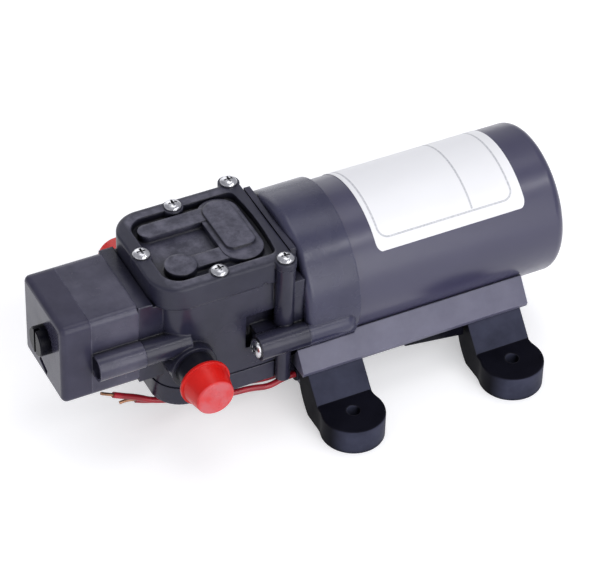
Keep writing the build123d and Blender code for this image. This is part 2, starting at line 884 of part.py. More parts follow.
def make_pump_head():
    rear_flange_bottom = axis_height - rear_flange_drop
    pocket_bottom = axis_height - pocket_drop
    with BuildPart() as pump_head:
        outline = rounded_outline(base_top, head_left_x, head_right_x, head_half_width, head_corner)
        extrude(outline, amount=head_top - base_top)
        # The square flange that the pressure switch bolts to
        switch_bottom = switch_centre_height - switch_height / 2
        switch_top = switch_centre_height + switch_height / 2
        block(
            (switch_seam_x, switch_seam_x + lug_reach),
            (-switch_width / 2, switch_width / 2),
            (switch_bottom, head_top),
        )
        block(
            (switch_seam_x, cover_left_x - close_gap),
            (-switch_width / 2, switch_width / 2),
            (head_top, switch_top),
        )
        # Pockets that give a driver room beside the long side screws
        pocket_left = head_right_x - pocket_left_margin
        for side in (-1, 1):
            block(
                (pocket_left, head_right_x - rear_flange_thickness),
                mirrored(side, head_half_width - pocket_depth, head_half_width + overrun),
                (pocket_bottom, pocket_bottom + pocket_height),
                mode=Mode.SUBTRACT,
            )
        # Rear flange against the motor, with a rib that stands up behind the cover
        with BuildSketch(Plane.YZ.offset(head_right_x - rear_flange_thickness)) as flange:
            with Locations((0, axis_height)):
                Circle(bell_radius + rear_flange_step)
            with Locations((0, (rear_flange_bottom + head_top) / 2)):
                Rectangle(
                    2 * rear_flange_half_width, head_top - rear_flange_bottom, mode=Mode.INTERSECT
                )
        extrude(flange.sketch, amount=rear_flange_thickness)
        block(
            (head_right_x - rear_rib_thickness, head_right_x),
            (-rear_rib_half_width, rear_rib_half_width),
            (head_top, cover_top - rear_rib_drop),
        )
        for side in (-1, 1):
            boss_y = side * side_boss_side
            boss_start = head_right_x - side_boss_length
            bar_x(head_boss_radius, boss_start, head_right_x, boss_y, side_boss_height)
            block(
                (boss_start + web_inset, head_right_x),
                mirrored(side, head_half_width - pocket_depth - overrun / 2, side_boss_side),
                (side_boss_height - web_height / 2, side_boss_height + web_height / 2),
            )
            column_y = side * cover_half_width
            bar_z(
                screw_boss_radius,
                side_boss_height,
                cover_top - ear_thickness,
                corner_screw_x,
                column_y,
            )
            bar_z(column_low_radius, head_bottom, side_boss_height, corner_screw_x, column_y)
            bar_x(
                head_tube_radius,
                switch_seam_x,
                switch_seam_x + head_tube_length,
                side * tube_side,
                axis_height,
            )
            bar_y(
                port_boss_radius,
                side * switch_width / 2,
                side * port_boss_reach,
                port_x,
                port_height,
            )
        # Crankcase, open to the motor, and the round mouth that the diaphragm closes
        bar_x(
            crankcase_radius,
            crank_x - crankcase_margin,
            head_right_x,
            z=axis_height,
            mode=Mode.SUBTRACT,
        )
        bar_z(
            diaphragm_bore_radius,
            head_top - diaphragm_bore_depth,
            head_top,
            crank_x,
            0,
            mode=Mode.SUBTRACT,
        )
        bar_z(
            diaphragm_radius + close_gap,
            diaphragm_bottom,
            head_top,
            crank_x,
            0,
            mode=Mode.SUBTRACT,
        )
        # Water passages
        for side in (-1, 1):
            bar_y(
                port_socket_radius,
                side * (port_boss_reach - socket_depth),
                side * port_boss_reach,
                port_x,
                port_height,
                mode=Mode.SUBTRACT,
            )
            bar_z(
                port_channel_radius,
                port_height,
                head_top,
                port_x,
                side * port_channel_side,
                mode=Mode.SUBTRACT,
            )
        bar_x(
            membrane_chamber_radius,
            switch_seam_x,
            switch_seam_x + membrane_chamber_depth,
            -switch_axis_side,
            switch_axis_height,
            mode=Mode.SUBTRACT,
        )
        bar_x(
            pressure_hole_radius,
            switch_seam_x,
            port_x,
            pressure_hole_side,
            switch_axis_height,
            mode=Mode.SUBTRACT,
        )
        bar_y(
            pressure_hole_radius,
            pressure_hole_side,
            port_channel_side,
            port_x,
            switch_axis_height,
            mode=Mode.SUBTRACT,
        )
        # Screw holes
        tapped = screw_shaft_radius + running_gap
        for x, y in cover_screw_places:
            bar_z(tapped, head_top - head_screw_depth, head_top, x, y, mode=Mode.SUBTRACT)
        for x, y in corner_screw_places:
            bar_z(tapped, head_bottom, cover_top, x, y, mode=Mode.SUBTRACT)
        for side in (-1, 1):
            bar_x(
                tapped,
                head_right_x - side_boss_length,
                head_right_x,
                side * side_boss_side,
                side_boss_height,
                mode=Mode.SUBTRACT,
            )
            bar_x(
                tapped,
                switch_seam_x,
                switch_seam_x + switch_screw_engagement,
                side * tube_side,
                axis_height,
                mode=Mode.SUBTRACT,
            )
            bar_z(
                tapped,
                base_top,
                base_top + base_screw_engagement,
                switch_seam_x + base_screw_distance,
                side * base_screw_side,
                mode=Mode.SUBTRACT,
            )
    finish(pump_head, "pump_head")


base_right_gap = 0.8
base_screw_recess = 2.2


def make_base_plate():
    with BuildPart() as base_plate:
        outline = rounded_outline(
            head_bottom,
            head_left_x - loose_gap,
            head_right_x - base_right_gap,
            head_half_width + loose_gap,
            head_corner + loose_gap,
        )
        extrude(outline, amount=base_thickness)
        for x, y in corner_screw_places:
            bar_z(column_low_radius + close_gap, head_bottom, base_top, x, y, mode=Mode.SUBTRACT)
        for side in (-1, 1):
            x = switch_seam_x + base_screw_distance
            y = side * base_screw_side
            hole = screw_shaft_radius + close_gap
            bar_z(hole, head_bottom, base_top, x, y, mode=Mode.SUBTRACT)
            recess = screw_head_radius + loose_gap
            bar_z(recess, head_bottom, head_bottom + base_screw_recess, x, y, mode=Mode.SUBTRACT)
    finish(base_plate, "base_plate")


# Raised waterways on the cover, each given as its outline
stadium_width = 12.7
stadium_length = 28.8
stadium_margin = 11.4
stadium_side = 0.5
stadium_drop = 0.6
plateau_width = 9.4
plateau_near_side = -8.5
plateau_far_side = 13.3
plateau_rise = 0.25
plateau_near_corner = 2.5
far_bar_near_side = 6.7
far_bar_far_side = 12.4
far_bar_left_margin = 6.1
near_disc_radius = 4.8
near_disc_margin = 11.5
near_disc_side = 8.2
link_near_side = 10.9
link_far_side = 5.4
waterway_drop = 0.3
link_drop = 0.8
notch_margin = 11.6
notch_radius = 0.9
recess_corner = 5.8
recess_right_corner = 2.2
recess_right_margin = 4.1
divider_width = 1.2
end_round_share = 0.49
stadium_x = cover_right_x - stadium_margin


def recess_outline():
    left = cover_left_x + rim_width + cover_skin / 2
    right = cover_right_x - recess_right_margin
    half = cover_half_width - rim_width
    with BuildSketch(Plane.XY.offset(recess_floor)) as outline:
        with BuildLine():
            ThreePointArc((right, -half), (right + recess_bulge, 0), (right, half))
            Polyline((right, half), (left, half), (left, -half), (right, -half))
        make_face()
        fillet(outline.vertices().group_by(Axis.X)[0], recess_corner)
        fillet(outline.vertices().group_by(Axis.X)[-1], recess_right_corner)
    return outline.sketch


def waterway(height, inset):
    bar_left = cover_left_x + far_bar_left_margin + inset
    bar_right = stadium_x - stadium_width / 4
    disc_x = cover_left_x + near_disc_margin
    with BuildSketch(Plane.XY.offset(height)) as far_bar:
        low = far_bar_near_side + inset
        high = far_bar_far_side - inset
        with Locations(((bar_left + bar_right) / 2, (low + high) / 2)):
            Rectangle(bar_right - bar_left, high - low)
        fillet(far_bar.vertices().group_by(Axis.X)[0], (high - low) * end_round_share)
    yield far_bar.sketch, waterway_drop
    with BuildSketch(Plane.XY.offset(height)) as near_disc:
        with Locations((disc_x, -near_disc_side)):
            Circle(near_disc_radius - inset)
    yield near_disc.sketch, waterway_drop
    with BuildSketch(Plane.XY.offset(height)) as link:
        low = -link_near_side + inset
        high = -link_far_side - inset
        with Locations(((disc_x + bar_right) / 2, (low + high) / 2)):
            Rectangle(bar_right - disc_x, high - low)
    yield link.sketch, link_drop


def stadium_outline(height, inset):
    with BuildSketch(Plane.XY.offset(height)) as stadium:
        with Locations(Location((stadium_x, stadium_side), 90)):
            SlotOverall(stadium_length - 2 * inset, stadium_width - 2 * inset)
    return stadium.sketch


def make_top_cover():
    with BuildPart() as top_cover:
        outline = rounded_outline(
            head_top, cover_left_x, cover_right_x, cover_half_width, head_corner + loose_gap
        )
        extrude(outline, amount=cover_height)
        fillet(top_cover.faces().sort_by(Axis.Z)[-1].edges(), cover_edge_round)
        ear_bottom = cover_top - ear_thickness
        for x, y in corner_screw_places:
            bar_z(screw_boss_radius + close_gap, head_top, ear_bottom, x, y, mode=Mode.SUBTRACT)
            bar_z(ear_radius, ear_bottom, cover_top, x, y)
        extrude(recess_outline(), amount=recess_depth + overrun, mode=Mode.SUBTRACT)
        for x, y in cover_screw_places:
            bar_z(screw_boss_radius, recess_floor - running_gap, cover_top, x, y)
        # Raised waterways with softened top edges
        for shape, drop in waterway(recess_floor - running_gap, 0):
            extrude(shape, amount=recess_depth + running_gap - drop)
        body_top = cover_top - stadium_drop
        extrude(
            stadium_outline(recess_floor - running_gap, 0), amount=body_top - recess_floor + running_gap
        )
        with BuildSketch(Plane.XY.offset(body_top)) as plateau:
            with Locations((stadium_x, (plateau_near_side + plateau_far_side) / 2)):
                Rectangle(plateau_width, plateau_far_side - plateau_near_side)
            fillet(plateau.vertices().group_by(Axis.Y)[0], plateau_near_corner)
            fillet(plateau.vertices().group_by(Axis.Y)[-1], plateau_width * end_round_share)
        extrude(plateau.sketch, amount=stadium_drop + plateau_rise)
        # Hollow underside: the valve plate's seat and the two halves of the waterways
        extrude(cavity_outline(head_top, 0), amount=cover_ceiling - head_top, mode=Mode.SUBTRACT)
        for x, y in middle_screw_places:
            bar_z(screw_boss_radius - close_gap, head_top, cover_ceiling + running_gap, x, y)
        for shape, drop in waterway(cover_ceiling, cover_skin):
            height = cover_top - drop - cover_skin - cover_ceiling
            extrude(shape, amount=height, mode=Mode.SUBTRACT)
        inner_height = body_top - cover_skin - cover_ceiling
        extrude(stadium_outline(cover_ceiling, cover_skin), amount=inner_height, mode=Mode.SUBTRACT)
        block(
            (stadium_x - stadium_width / 2 + close_gap, stadium_x + stadium_width / 2 - close_gap),
            (stadium_side - divider_width / 2, stadium_side + divider_width / 2),
            (cover_ceiling, cover_ceiling + inner_height),
        )
        through = screw_shaft_radius + loose_gap
        for x, y in cover_screw_places:
            bar_z(through, head_top, cover_top + overrun, x, y, mode=Mode.SUBTRACT)
        for x, y in corner_screw_places:
            bar_z(through, ear_bottom, cover_top + overrun, x, y, mode=Mode.SUBTRACT)
        bar_y(
            notch_radius,
            -cover_half_width - overrun,
            -cover_half_width + notch_radius,
            head_right_x - notch_margin,
            head_top,
            mode=Mode.SUBTRACT,
        )
    finish(top_cover, "top_cover")


corner_tip_proud = 1.1
base_screw_length = 8.6
cover_screw_length = 14.0
side_screw_head_radius = 3.0


def make_screws():
    with BuildPart() as cover_screws:
        for x, y in cover_screw_places:
            pan_screw(seat_up(x, y, cover_top), cover_screw_length)
    finish(cover_screws, "cover_screws")

    with BuildPart() as corner_screws:
        for x, y in corner_screw_places:
            pan_screw(seat_up(x, y, cover_top), cover_top - head_bottom + corner_tip_proud)
    finish(corner_screws, "corner_screws")

    with BuildPart() as side_screws:
        start = head_right_x - side_boss_length
        for side in (-1, 1):
            pan_screw(
                seat_front(start, side * side_boss_side, side_boss_height),
                side_boss_length + side_screw_engagement - loose_gap,
                head_radius=side_screw_head_radius,
            )
    finish(side_screws, "side_screws")

    with BuildPart() as switch_screws:
        seat_x = cap_seam_x + loose_gap + tube_bore_length
        for side in (-1, 1):
            pan_screw(
                seat_front(seat_x, side * tube_side, axis_height),
                switch_seam_x + switch_screw_engagement - loose_gap - seat_x,
            )
    finish(switch_screws, "switch_screws")

    with BuildPart() as base_screws:
        for side in (-1, 1):
            pan_screw(
                seat_down(
                    switch_seam_x + base_screw_distance,
                    side * base_screw_side,
                    head_bottom + base_screw_recess,
                ),
                base_screw_length,
            )
    finish(base_screws, "base_screws")


seal_groove_start = 16.0
seal_groove_width = 2.0
seal_thickness = 0.8
port_stub_start = 13.2


def make_port(side, name):
    with BuildPart() as port:
        stub_radius = port_socket_radius - close_gap
        shoulder_end = transport_cap_start - loose_gap
        spigot_end = shoulder_end + port_spigot_length
        bar_y(stub_radius, side * port_stub_start, side * port_boss_reach, port_x, port_height)
        bar_y(
            port_shoulder_radius, side * port_boss_reach, side * shoulder_end, port_x, port_height
        )
        bar_y(port_spigot_radius, side * shoulder_end, side * spigot_end, port_x, port_height)
        mouth = port.faces().sort_by(Axis.Y)[-1 if side > 0 else 0]
        chamfer(mouth.edges(), loose_gap)
        bar_y(
            port_bore_radius,
            side * port_stub_start,
            side * (spigot_end + overrun),
            port_x,
            port_height,
            mode=Mode.SUBTRACT,
        )
        with BuildSketch(Plane.XZ.offset(-side * seal_groove_start)) as groove:
            with Locations((port_x, port_height)):
                Circle(port_socket_radius)
                Circle(stub_radius - seal_thickness, mode=Mode.SUBTRACT)
        extrude(groove.sketch, amount=-side * seal_groove_width, mode=Mode.SUBTRACT)
    finish(port, name)

    with BuildPart() as seal:
        with BuildSketch(Plane.XZ.offset(-side * (seal_groove_start + close_gap))) as ring:
            with Locations((port_x, port_height)):
                Circle(port_socket_radius - running_gap / 2)
                Circle(stub_radius - seal_thickness + running_gap / 2, mode=Mode.SUBTRACT)
        extrude(ring.sketch, amount=-side * (seal_groove_width - 2 * close_gap))
    finish(seal, name + "_seal")


def make_transport_cap(side, name):
    start = transport_cap_start
    end = start + transport_cap_length
    taper = (transport_cap_root_radius - transport_cap_end_radius) / transport_cap_length
    inner_end = end - transport_cap_end_wall
    with BuildPart() as transport_cap:
        with BuildSketch(Plane.XY.offset(port_height)) as half:
            with BuildLine():
                Polyline(
                    (port_x, side * end),
                    (port_x + transport_cap_end_radius - transport_cap_wall / 2, side * end),
                    (port_x + transport_cap_end_radius, side * (end - transport_cap_wall / 2)),
                    (
                        port_x + transport_cap_root_radius - taper * transport_cap_lip,
                        side * (start + transport_cap_lip),
                    ),
                    (port_x + transport_cap_rim_radius, side * (start + transport_cap_lip)),
                    (port_x + transport_cap_rim_radius, side * start),
                    (port_x + transport_cap_root_radius - transport_cap_wall, side * start),
                    (
                        port_x
                        + transport_cap_root_radius
                        - transport_cap_wall
                        - taper * (inner_end - start),
                        side * inner_end,
                    ),
                    (port_x, side * inner_end),
                    close=True,
                )
            make_face()
        revolve(half.sketch, axis=Axis((port_x, 0, port_height), (0, 1, 0)))
    finish(transport_cap, name)


guide_start = 7.8
guide_boss_radius = 5.0
plunger_disc_radius = 5.5
plunger_disc_thickness = 1.2
plunger_stem_radius = 2.5
plunger_room = 2.13
plunger_arm_thickness = 1.7
plunger_arm_reach = 8.6
plunger_arm_height = 4.0
plunger_tip_x = 14.5
slot_length = 5.5
slot_height = 2.2
slot_centre_side = 0.3
slot_centre_drop = 8.9
slot_tilt = 24
adjuster_chamfer = 0.3
adjuster_boss_radius = 5.0
adjuster_boss_length = 2.3
driver_slot_width = 1.2
driver_slot_depth = 1.6


def switch_shell(start, end):
    with BuildSketch(Plane.YZ.offset(start)) as section:
        with Locations((0, switch_centre_height)):
            RectangleRounded(switch_width, switch_height, switch_edge_round)
    extrude(section.sketch, amount=end - start)


def switch_hollow(start, end):
    with BuildSketch(Plane.YZ.offset(start)) as section:
        with Locations((0, switch_centre_height)):
            Rectangle(switch_width - 2 * switch_wall, switch_height - 2 * switch_wall)
    extrude(section.sketch, amount=end - start, mode=Mode.SUBTRACT)


def make_switch_cap():
    with BuildPart() as switch_cap:
        switch_shell(front_x, cap_seam_x)
        front_edges = switch_cap.faces().sort_by(Axis.X)[0].edges()
        fillet(front_edges, switch_front_round)
        switch_hollow(front_x + switch_wall, cap_seam_x)
        bar_x(
            adjuster_boss_radius,
            front_x + switch_wall - running_gap,
            front_x + switch_wall + adjuster_boss_length,
            -switch_axis_side,
            switch_axis_height,
        )
        bar_x(
            adjuster_radius + running_gap,
            front_x,
            front_x + switch_wall + adjuster_boss_length,
            -switch_axis_side,
            switch_axis_height,
            mode=Mode.SUBTRACT,
        )
        with BuildSketch(Plane.YZ.offset(front_x)) as slot:
            with Locations(Location((slot_centre_side, axis_height - slot_centre_drop), slot_tilt)):
                Rectangle(slot_length, slot_height)
        extrude(slot.sketch, amount=switch_wall, mode=Mode.SUBTRACT)
    finish(switch_cap, "switch_cap")


def make_switch_body():
    with BuildPart() as switch_body:
        switch_shell(cap_seam_x, switch_seam_x)
        tube_start = cap_seam_x + loose_gap
        for side in (-1, 1):
            bar_x(tube_radius, tube_start, switch_seam_x, side * tube_side, axis_height)
        disc_start = switch_seam_x - membrane_thickness - plunger_room
        hollow_end = disc_start - plunger_disc_thickness
        switch_hollow(cap_seam_x, hollow_end)
        for side in (-1, 1):
            bore_end = tube_start + tube_bore_length
            y = side * tube_side
            bar_x(tube_bore_radius, tube_start, bore_end, y, axis_height, mode=Mode.SUBTRACT)
            hole = screw_shaft_radius + close_gap
            bar_x(hole, tube_start, switch_seam_x, y, axis_height, mode=Mode.SUBTRACT)
        y, z = -switch_axis_side, switch_axis_height
        bar_x(guide_boss_radius, cap_seam_x + guide_start, hollow_end + running_gap, y, z)
        bar_x(
            membrane_radius + close_gap / 2,
            switch_seam_x - membrane_thickness,
            switch_seam_x,
            y,
            z,
            mode=Mode.SUBTRACT,
        )
        bar_x(
            plunger_disc_radius + loose_gap,
            disc_start,
            switch_seam_x,
            y,
            z,
            mode=Mode.SUBTRACT,
        )
        bar_x(
            plunger_stem_radius + running_gap,
            cap_seam_x + guide_start,
            switch_seam_x,
            y,
            z,
            mode=Mode.SUBTRACT,
        )
    finish(switch_body, "switch_body")


micro_depth = 9.6
micro_width = 6.0
micro_height = 16.0
micro_side = 3.4
button_radius = 0.9
button_side = 5.2
button_seat_depth = 2.4
blade_thickness = 0.8
blade_width = 4.8
blade_length = 5.4
blade_spread = 2.1
pressure_spring_radius = 2.4
pressure_spring_wire = 0.35
pressure_spring_turns = 4


def make_switch_inside():
    y, z = -switch_axis_side, switch_axis_height
    with BuildPart() as switch_membrane:
        start = switch_seam_x - membrane_thickness
        bar_x(membrane_radius, start + running_gap, switch_seam_x, y, z)
    finish(switch_membrane, "switch_membrane")

    disc_end = switch_seam_x - membrane_thickness - running_gap
    tip_x = front_x + plunger_tip_x
    with BuildPart() as switch_plunger:
        bar_x(plunger_disc_radius, disc_end - plunger_disc_thickness, disc_end, y, z)
        bar_x(plunger_stem_radius, tip_x, disc_end, y, z)
        block(
            (tip_x, tip_x + plunger_arm_thickness),
            (y - plunger_arm_height / 2, y + plunger_arm_reach),
            (z - plunger_arm_height / 2, z + plunger_arm_height / 2),
        )
    finish(switch_plunger, "switch_plunger")

    micro_start = front_x + switch_wall + close_gap
    micro_end = micro_start + micro_depth
    with BuildPart() as micro_switch:
        block(
            (micro_start, micro_end),
            (micro_side, micro_side + micro_width),
            (z - micro_height / 2, z + micro_height / 2),
        )
        bar_x(
            button_radius + running_gap,
            micro_end - button_seat_depth,
            micro_end,
            button_side,
            z,
            mode=Mode.SUBTRACT,
        )
    finish(micro_switch, "micro_switch")

    with BuildPart() as micro_button:
        seat = micro_end - button_seat_depth + plunger_travel + close_gap
        bar_x(button_radius, seat, tip_x - running_gap, button_side, z)
    finish(micro_button, "micro_button")

    with BuildPart() as switch_terminals:
        blade_y = micro_side + micro_width / 2
        for offset in (-blade_spread, blade_spread):
            x = (micro_start + micro_end) / 2 + offset
            block(
                (x - blade_thickness / 2, x + blade_thickness / 2),
                (blade_y - blade_width / 2, blade_y + blade_width / 2),
                (z - micro_height / 2 - blade_length, z - micro_height / 2),
            )
    finish(switch_terminals, "switch_terminals")

    with BuildPart() as adjust_screw:
        bar_x(nub_radius, front_x - nub_proud, front_x, y, z)
        chamfer(adjust_screw.faces().sort_by(Axis.X)[0].edges(), adjuster_chamfer)
        block(
            (front_x - nub_proud, front_x - nub_proud + driver_slot_depth),
            (y - driver_slot_width / 2, y + driver_slot_width / 2),
            (z - nub_radius, z + nub_radius),
            mode=Mode.SUBTRACT,
        )
        bar_x(adjuster_radius, front_x, front_x + adjuster_reach, y, z)
    finish(adjust_screw, "adjust_screw")

    with BuildPart() as pressure_spring:
        start = front_x + adjuster_reach
        coil(
            Plane((start, y, z), x_dir=(0, 1, 0), z_dir=(1, 0, 0)),
            pressure_spring_radius,
            pressure_spring_wire,
            tip_x - start - plunger_travel - close_gap,
            pressure_spring_turns,
        )
    finish(pressure_spring, "pressure_spring")


tongue_inset = 3.6
tongue_side = rail_edge_side - tongue_inset
tongue_neck_width = 1.3
tongue_head_width = 3.1
tongue_neck_height = 1.2
tongue_head_height = 1.4
rail_web_length = 3.6
rail_web_side = 20.4
rail_screw_recess = 1.7
rail_screw_engagement = 3.8
rear_screw_margin = 3.9
can_screw_engagement = 2.4

rail_x = head_right_x - rail_overlap
rail_end_x = motor_end_x - rail_end_margin
rail_web_x = head_right_x + close_gap
tongue_neck_top = rail_underside + tongue_neck_height
tongue_top = tongue_neck_top + tongue_head_height
front_foot_x = head_right_x + front_foot_margin
foot_x_places = (("front", front_foot_x), ("rear", rail_end_x - rear_foot_margin))
front_rail_screw_x = front_foot_x
rear_rail_screw_x = rail_end_x - rear_screw_margin


# A rubber foot's tongue, or the slot that holds it when a gap is given
def foot_tongue(x, side, gap, mode):
    x_range = (x - foot_width / 2 - gap, x + foot_width / 2 + gap)
    neck = tongue_neck_width / 2 + gap
    head = tongue_head_width / 2 + gap
    for half_width, z_range in (
        (neck, (rail_underside, tongue_neck_top)),
        (head, (tongue_neck_top - gap, tongue_top + gap)),
    ):
        y_range = mirrored(side, tongue_side - half_width, tongue_side + half_width)
        block(x_range, y_range, z_range, mode=mode)


def make_rail():
    with BuildPart() as motor_rail:
        with BuildSketch(Plane.YZ.offset(rail_x)) as section:
            with BuildLine():
                right = [
                    (rail_block_side, rail_block_bottom),
                    (rail_block_side, rail_underside),
                    (rail_edge_side - rail_lip, rail_underside),
                    (rail_edge_side, rail_edge_height),
                    (rail_top_side, rail_top),
                ]
                left = [(-y, z) for y, z in reversed(right)]
                Polyline(*right, *left, close=True)
            make_face()
        extrude(section.sketch, amount=rail_end_x - rail_x)
        # Clear of the pump head, with a web in front that carries the lead gland
        block(
            (rail_x, rail_web_x),
            (-head_half_width - loose_gap, head_half_width + loose_gap),
            (rail_block_bottom, rail_top),
            mode=Mode.SUBTRACT,
        )
        block(
            (rail_web_x, rail_web_x + rail_web_length),
            (-rail_web_side, -rail_block_side),
            (rail_block_bottom, rail_underside),
        )
        # Round seats for the bell and the can
        bell_seat = bell_radius + close_gap
        can_seat = can_radius + close_gap
        seat_step = bell_right_x + close_gap
        bar_x(bell_seat, rail_x, seat_step, z=axis_height, mode=Mode.SUBTRACT)
        for side in (-1, 1):
            side_seat = side_boss_radius + loose_gap
            y = side * side_boss_side
            bar_x(side_seat, rail_x, seat_step, y, side_boss_height, mode=Mode.SUBTRACT)
        bar_x(can_seat, seat_step, rail_end_x, z=axis_height, mode=Mode.SUBTRACT)
        bar_x(
            gland_radius + running_gap,
            rail_web_x,
            rail_web_x + rail_web_length,
            -lead_side,
            lead_height,
            mode=Mode.SUBTRACT,
        )
        for offset in (-lead_spread, lead_spread):
            y = offset - lead_side
            bar_z(
                lead_hole_radius, rail_underside, axis_height, lead_entry_x, y, mode=Mode.SUBTRACT
            )
        for label, x in foot_x_places:
            for side in (-1, 1):
                foot_tongue(x, side, running_gap, Mode.SUBTRACT)
        for x in (front_rail_screw_x, rear_rail_screw_x):
            hole = screw_shaft_radius + close_gap
            bar_z(hole, rail_block_bottom, axis_height, x, 0, mode=Mode.SUBTRACT)
            recess = screw_head_radius + loose_gap
            recess_top = rail_block_bottom + rail_screw_recess
            bar_z(recess, rail_block_bottom, recess_top, x, 0, mode=Mode.SUBTRACT)
    finish(motor_rail, "motor_rail")

    with BuildPart() as rail_screws:
        seat_z = rail_block_bottom + rail_screw_recess
        bell_bottom = axis_height - bell_radius
        front_length = bell_bottom + rail_screw_engagement - loose_gap - seat_z
        rear_length = can_bottom + can_screw_engagement - seat_z
        pan_screw(seat_down(front_rail_screw_x, 0, seat_z), front_length)
        pan_screw(seat_down(rear_rail_screw_x, 0, seat_z), rear_length)
    finish(rail_screws, "rail_screws")


foot_inner_inset = 5.7
foot_inner_height = 7.9
foot_heel_inset = 3.0
foot_heel_height = 3.2
foot_sole_reach = 0.3
foot_shelf_reach = 5.9
foot_blend_radius = 8.0
foot_edge_round = 0.6


def make_foot(label, x, side):
    inner = (side * (rail_edge_side - foot_inner_inset), foot_inner_height)
    heel = (side * (rail_edge_side - foot_heel_inset), foot_heel_height)
    sole = (side * (rail_edge_side + foot_sole_reach), 0)
    shelf = (side * (rail_edge_side + foot_shelf_reach), foot_pad_thickness)
    hole_y = side * foot_hole_side
    with BuildPart() as foot:
        with BuildSketch(Plane.YZ.offset(x - foot_width / 2)) as profile:
            with BuildLine():
                ThreePointArc(inner, heel, sole)
                Polyline(
                    sole,
                    (hole_y, 0),
                    (hole_y, foot_pad_thickness),
                    shelf,
                    (side * (rail_edge_side - rail_lip), rail_underside),
                    (inner[0] + side * loose_gap, rail_underside),
                    inner,
                )
            make_face()
        extrude(profile.sketch, amount=foot_width)
        bar_z(foot_pad_radius, 0, foot_pad_thickness, x, hole_y)
        meeting = math.sqrt(foot_pad_radius**2 - (foot_width / 2) ** 2)
        meeting_side = foot_hole_side - meeting
        uprights = foot.edges().filter_by(Axis.Z)
        blends = uprights.filter_by(
            lambda edge: abs(abs(edge.center().Y) - meeting_side) < running_gap
        )
        fillet(blends, foot_blend_radius)
        rim = foot.edges().filter_by(GeomType.CIRCLE).group_by(Axis.Z)[-1]
        fillet(rim, foot_edge_round)
        bar_z(
            foot_hole_radius,
            0,
            foot_pad_thickness,
            x,
            hole_y,
            mode=Mode.SUBTRACT,
        )
        foot_tongue(x, side, 0, Mode.ADD)
    finish(foot, label + ("_far_foot" if side > 0 else "_near_foot"))


# Each lead's route in millimetres from the middle of its hole in the gland's front face
feed_route = [
    (0, 0, 0),
    (-3.7, 0, 0),
    (-8.6, 0.1, -1.9),
    (-14.3, 0.7, -0.7),
    (-21.1, 1.5, -1.1),
    (-28.6, 4.0, -1.5),
    (-36.1, 6.9, -1.9),
    (-42.6, 9.0, -1.6),
    (-47.6, 9.6, 1.3),
    (-51.6, 9.4, 3.4),
    (-55.2, 9.6, 5.2),
]
return_route = [
    (0, 0, 0),
    (-3.5, 0, 0),
    (-8.3, 0.4, -0.7),
    (-14.6, 1.4, -0.4),
    (-22.1, 3.2, -1.0),
    (-29.6, 5.5, -1.9),
    (-36.6, 7.8, -3.4),
    (-42.3, 9.2, -3.9),
    (-47.1, 9.5, -1.8),
]
run_share = 0.45
bare_tip_length = 4.2
return_tip_length = 5.6
return_tip_drop = 1.8
lead_exit_x = rail_web_x - gland_collar_length


def lead_start(offset):
    return Vector(lead_exit_x, offset - lead_side, lead_height)


# Arc radii that follow from each corner's two runs and its turn
def corner_radii(points):
    radii = []
    for before, corner, after in zip(points, points[1:], points[2:]):
        first = corner - before
        second = after - corner
        half_turn = math.radians(first.get_angle(second)) / 2
        radii.append(run_share * min(first.length, second.length) / math.tan(half_turn))
    return radii


def make_lead(name, route, offset):
    points = [lead_start(offset) + Vector(*step) for step in route]
    radii = corner_radii(points)
    print(name, "arc radii:", [round(radius, 1) for radius in radii])
    with BuildPart() as lead:
        with BuildLine() as path:
            FilletPolyline(*points, radius=radii)
        wire = path.wire()
        with BuildSketch(Plane(origin=wire @ 0, z_dir=wire % 0)):
            Circle(lead_radius)
        sweep(path=wire)
    expected = math.pi * lead_radius**2 * wire.length
    print(name, "length", round(wire.length, 1), "volume share", lead.part.volume / expected)
    finish(lead, name)


# The stripped copper at the free end of each lead
def make_lead_tips():
    with BuildPart() as lead_tips:
        for route, offset, length, drop in (
            (feed_route, -lead_spread, bare_tip_length, 0),
            (return_route, lead_spread, return_tip_length, return_tip_drop),
        ):
            end = lead_start(offset) + Vector(*route[-1])
            direction = (Vector(*route[-1]) - Vector(*route[-2])).normalized()
            middle = end + direction * (length / 2)
            tip = end + direction * length - Vector(0, 0, drop)
            with BuildLine() as path:
                Spline(end, middle - Vector(0, 0, drop / 4), tip, tangents=[direction, tip - middle])
            with BuildSketch(Plane(origin=end, z_dir=direction)):
                Circle(lead_core_radius)
            sweep(path=path.wire())
    finish(lead_tips, "lead_tips")


lead_bend_radius = 3.6


def make_gland_and_inner_leads():
    gland_end = rail_web_x + gland_body_length
    with BuildPart() as lead_gland:
        bar_x(gland_collar_radius, lead_exit_x, rail_web_x, -lead_side, lead_height)
        chamfer(lead_gland.faces().sort_by(Axis.X)[0].edges(), gland_collar_length / 4)
        bar_x(gland_radius, rail_web_x, gland_end, -lead_side, lead_height)
        for offset in (-lead_spread, lead_spread):
            bar_x(
                lead_radius + running_gap,
                lead_exit_x,
                gland_end,
                offset - lead_side,
                lead_height,
                mode=Mode.SUBTRACT,
            )
    finish(lead_gland, "lead_gland")

    with BuildPart() as inner_leads:
        for offset in (-lead_spread, lead_spread):
            start = lead_start(offset)
            corner = Vector(lead_entry_x, start.Y, start.Z)
            end = Vector(lead_entry_x, start.Y, axis_height - holder_half_height)
            with BuildLine() as path:
                FilletPolyline(start, corner, end, radius=lead_bend_radius)
            with BuildSketch(Plane(origin=start, z_dir=(1, 0, 0))):
                Circle(lead_radius)
            sweep(path=path.wire())
    finish(inner_leads, "inner_leads")


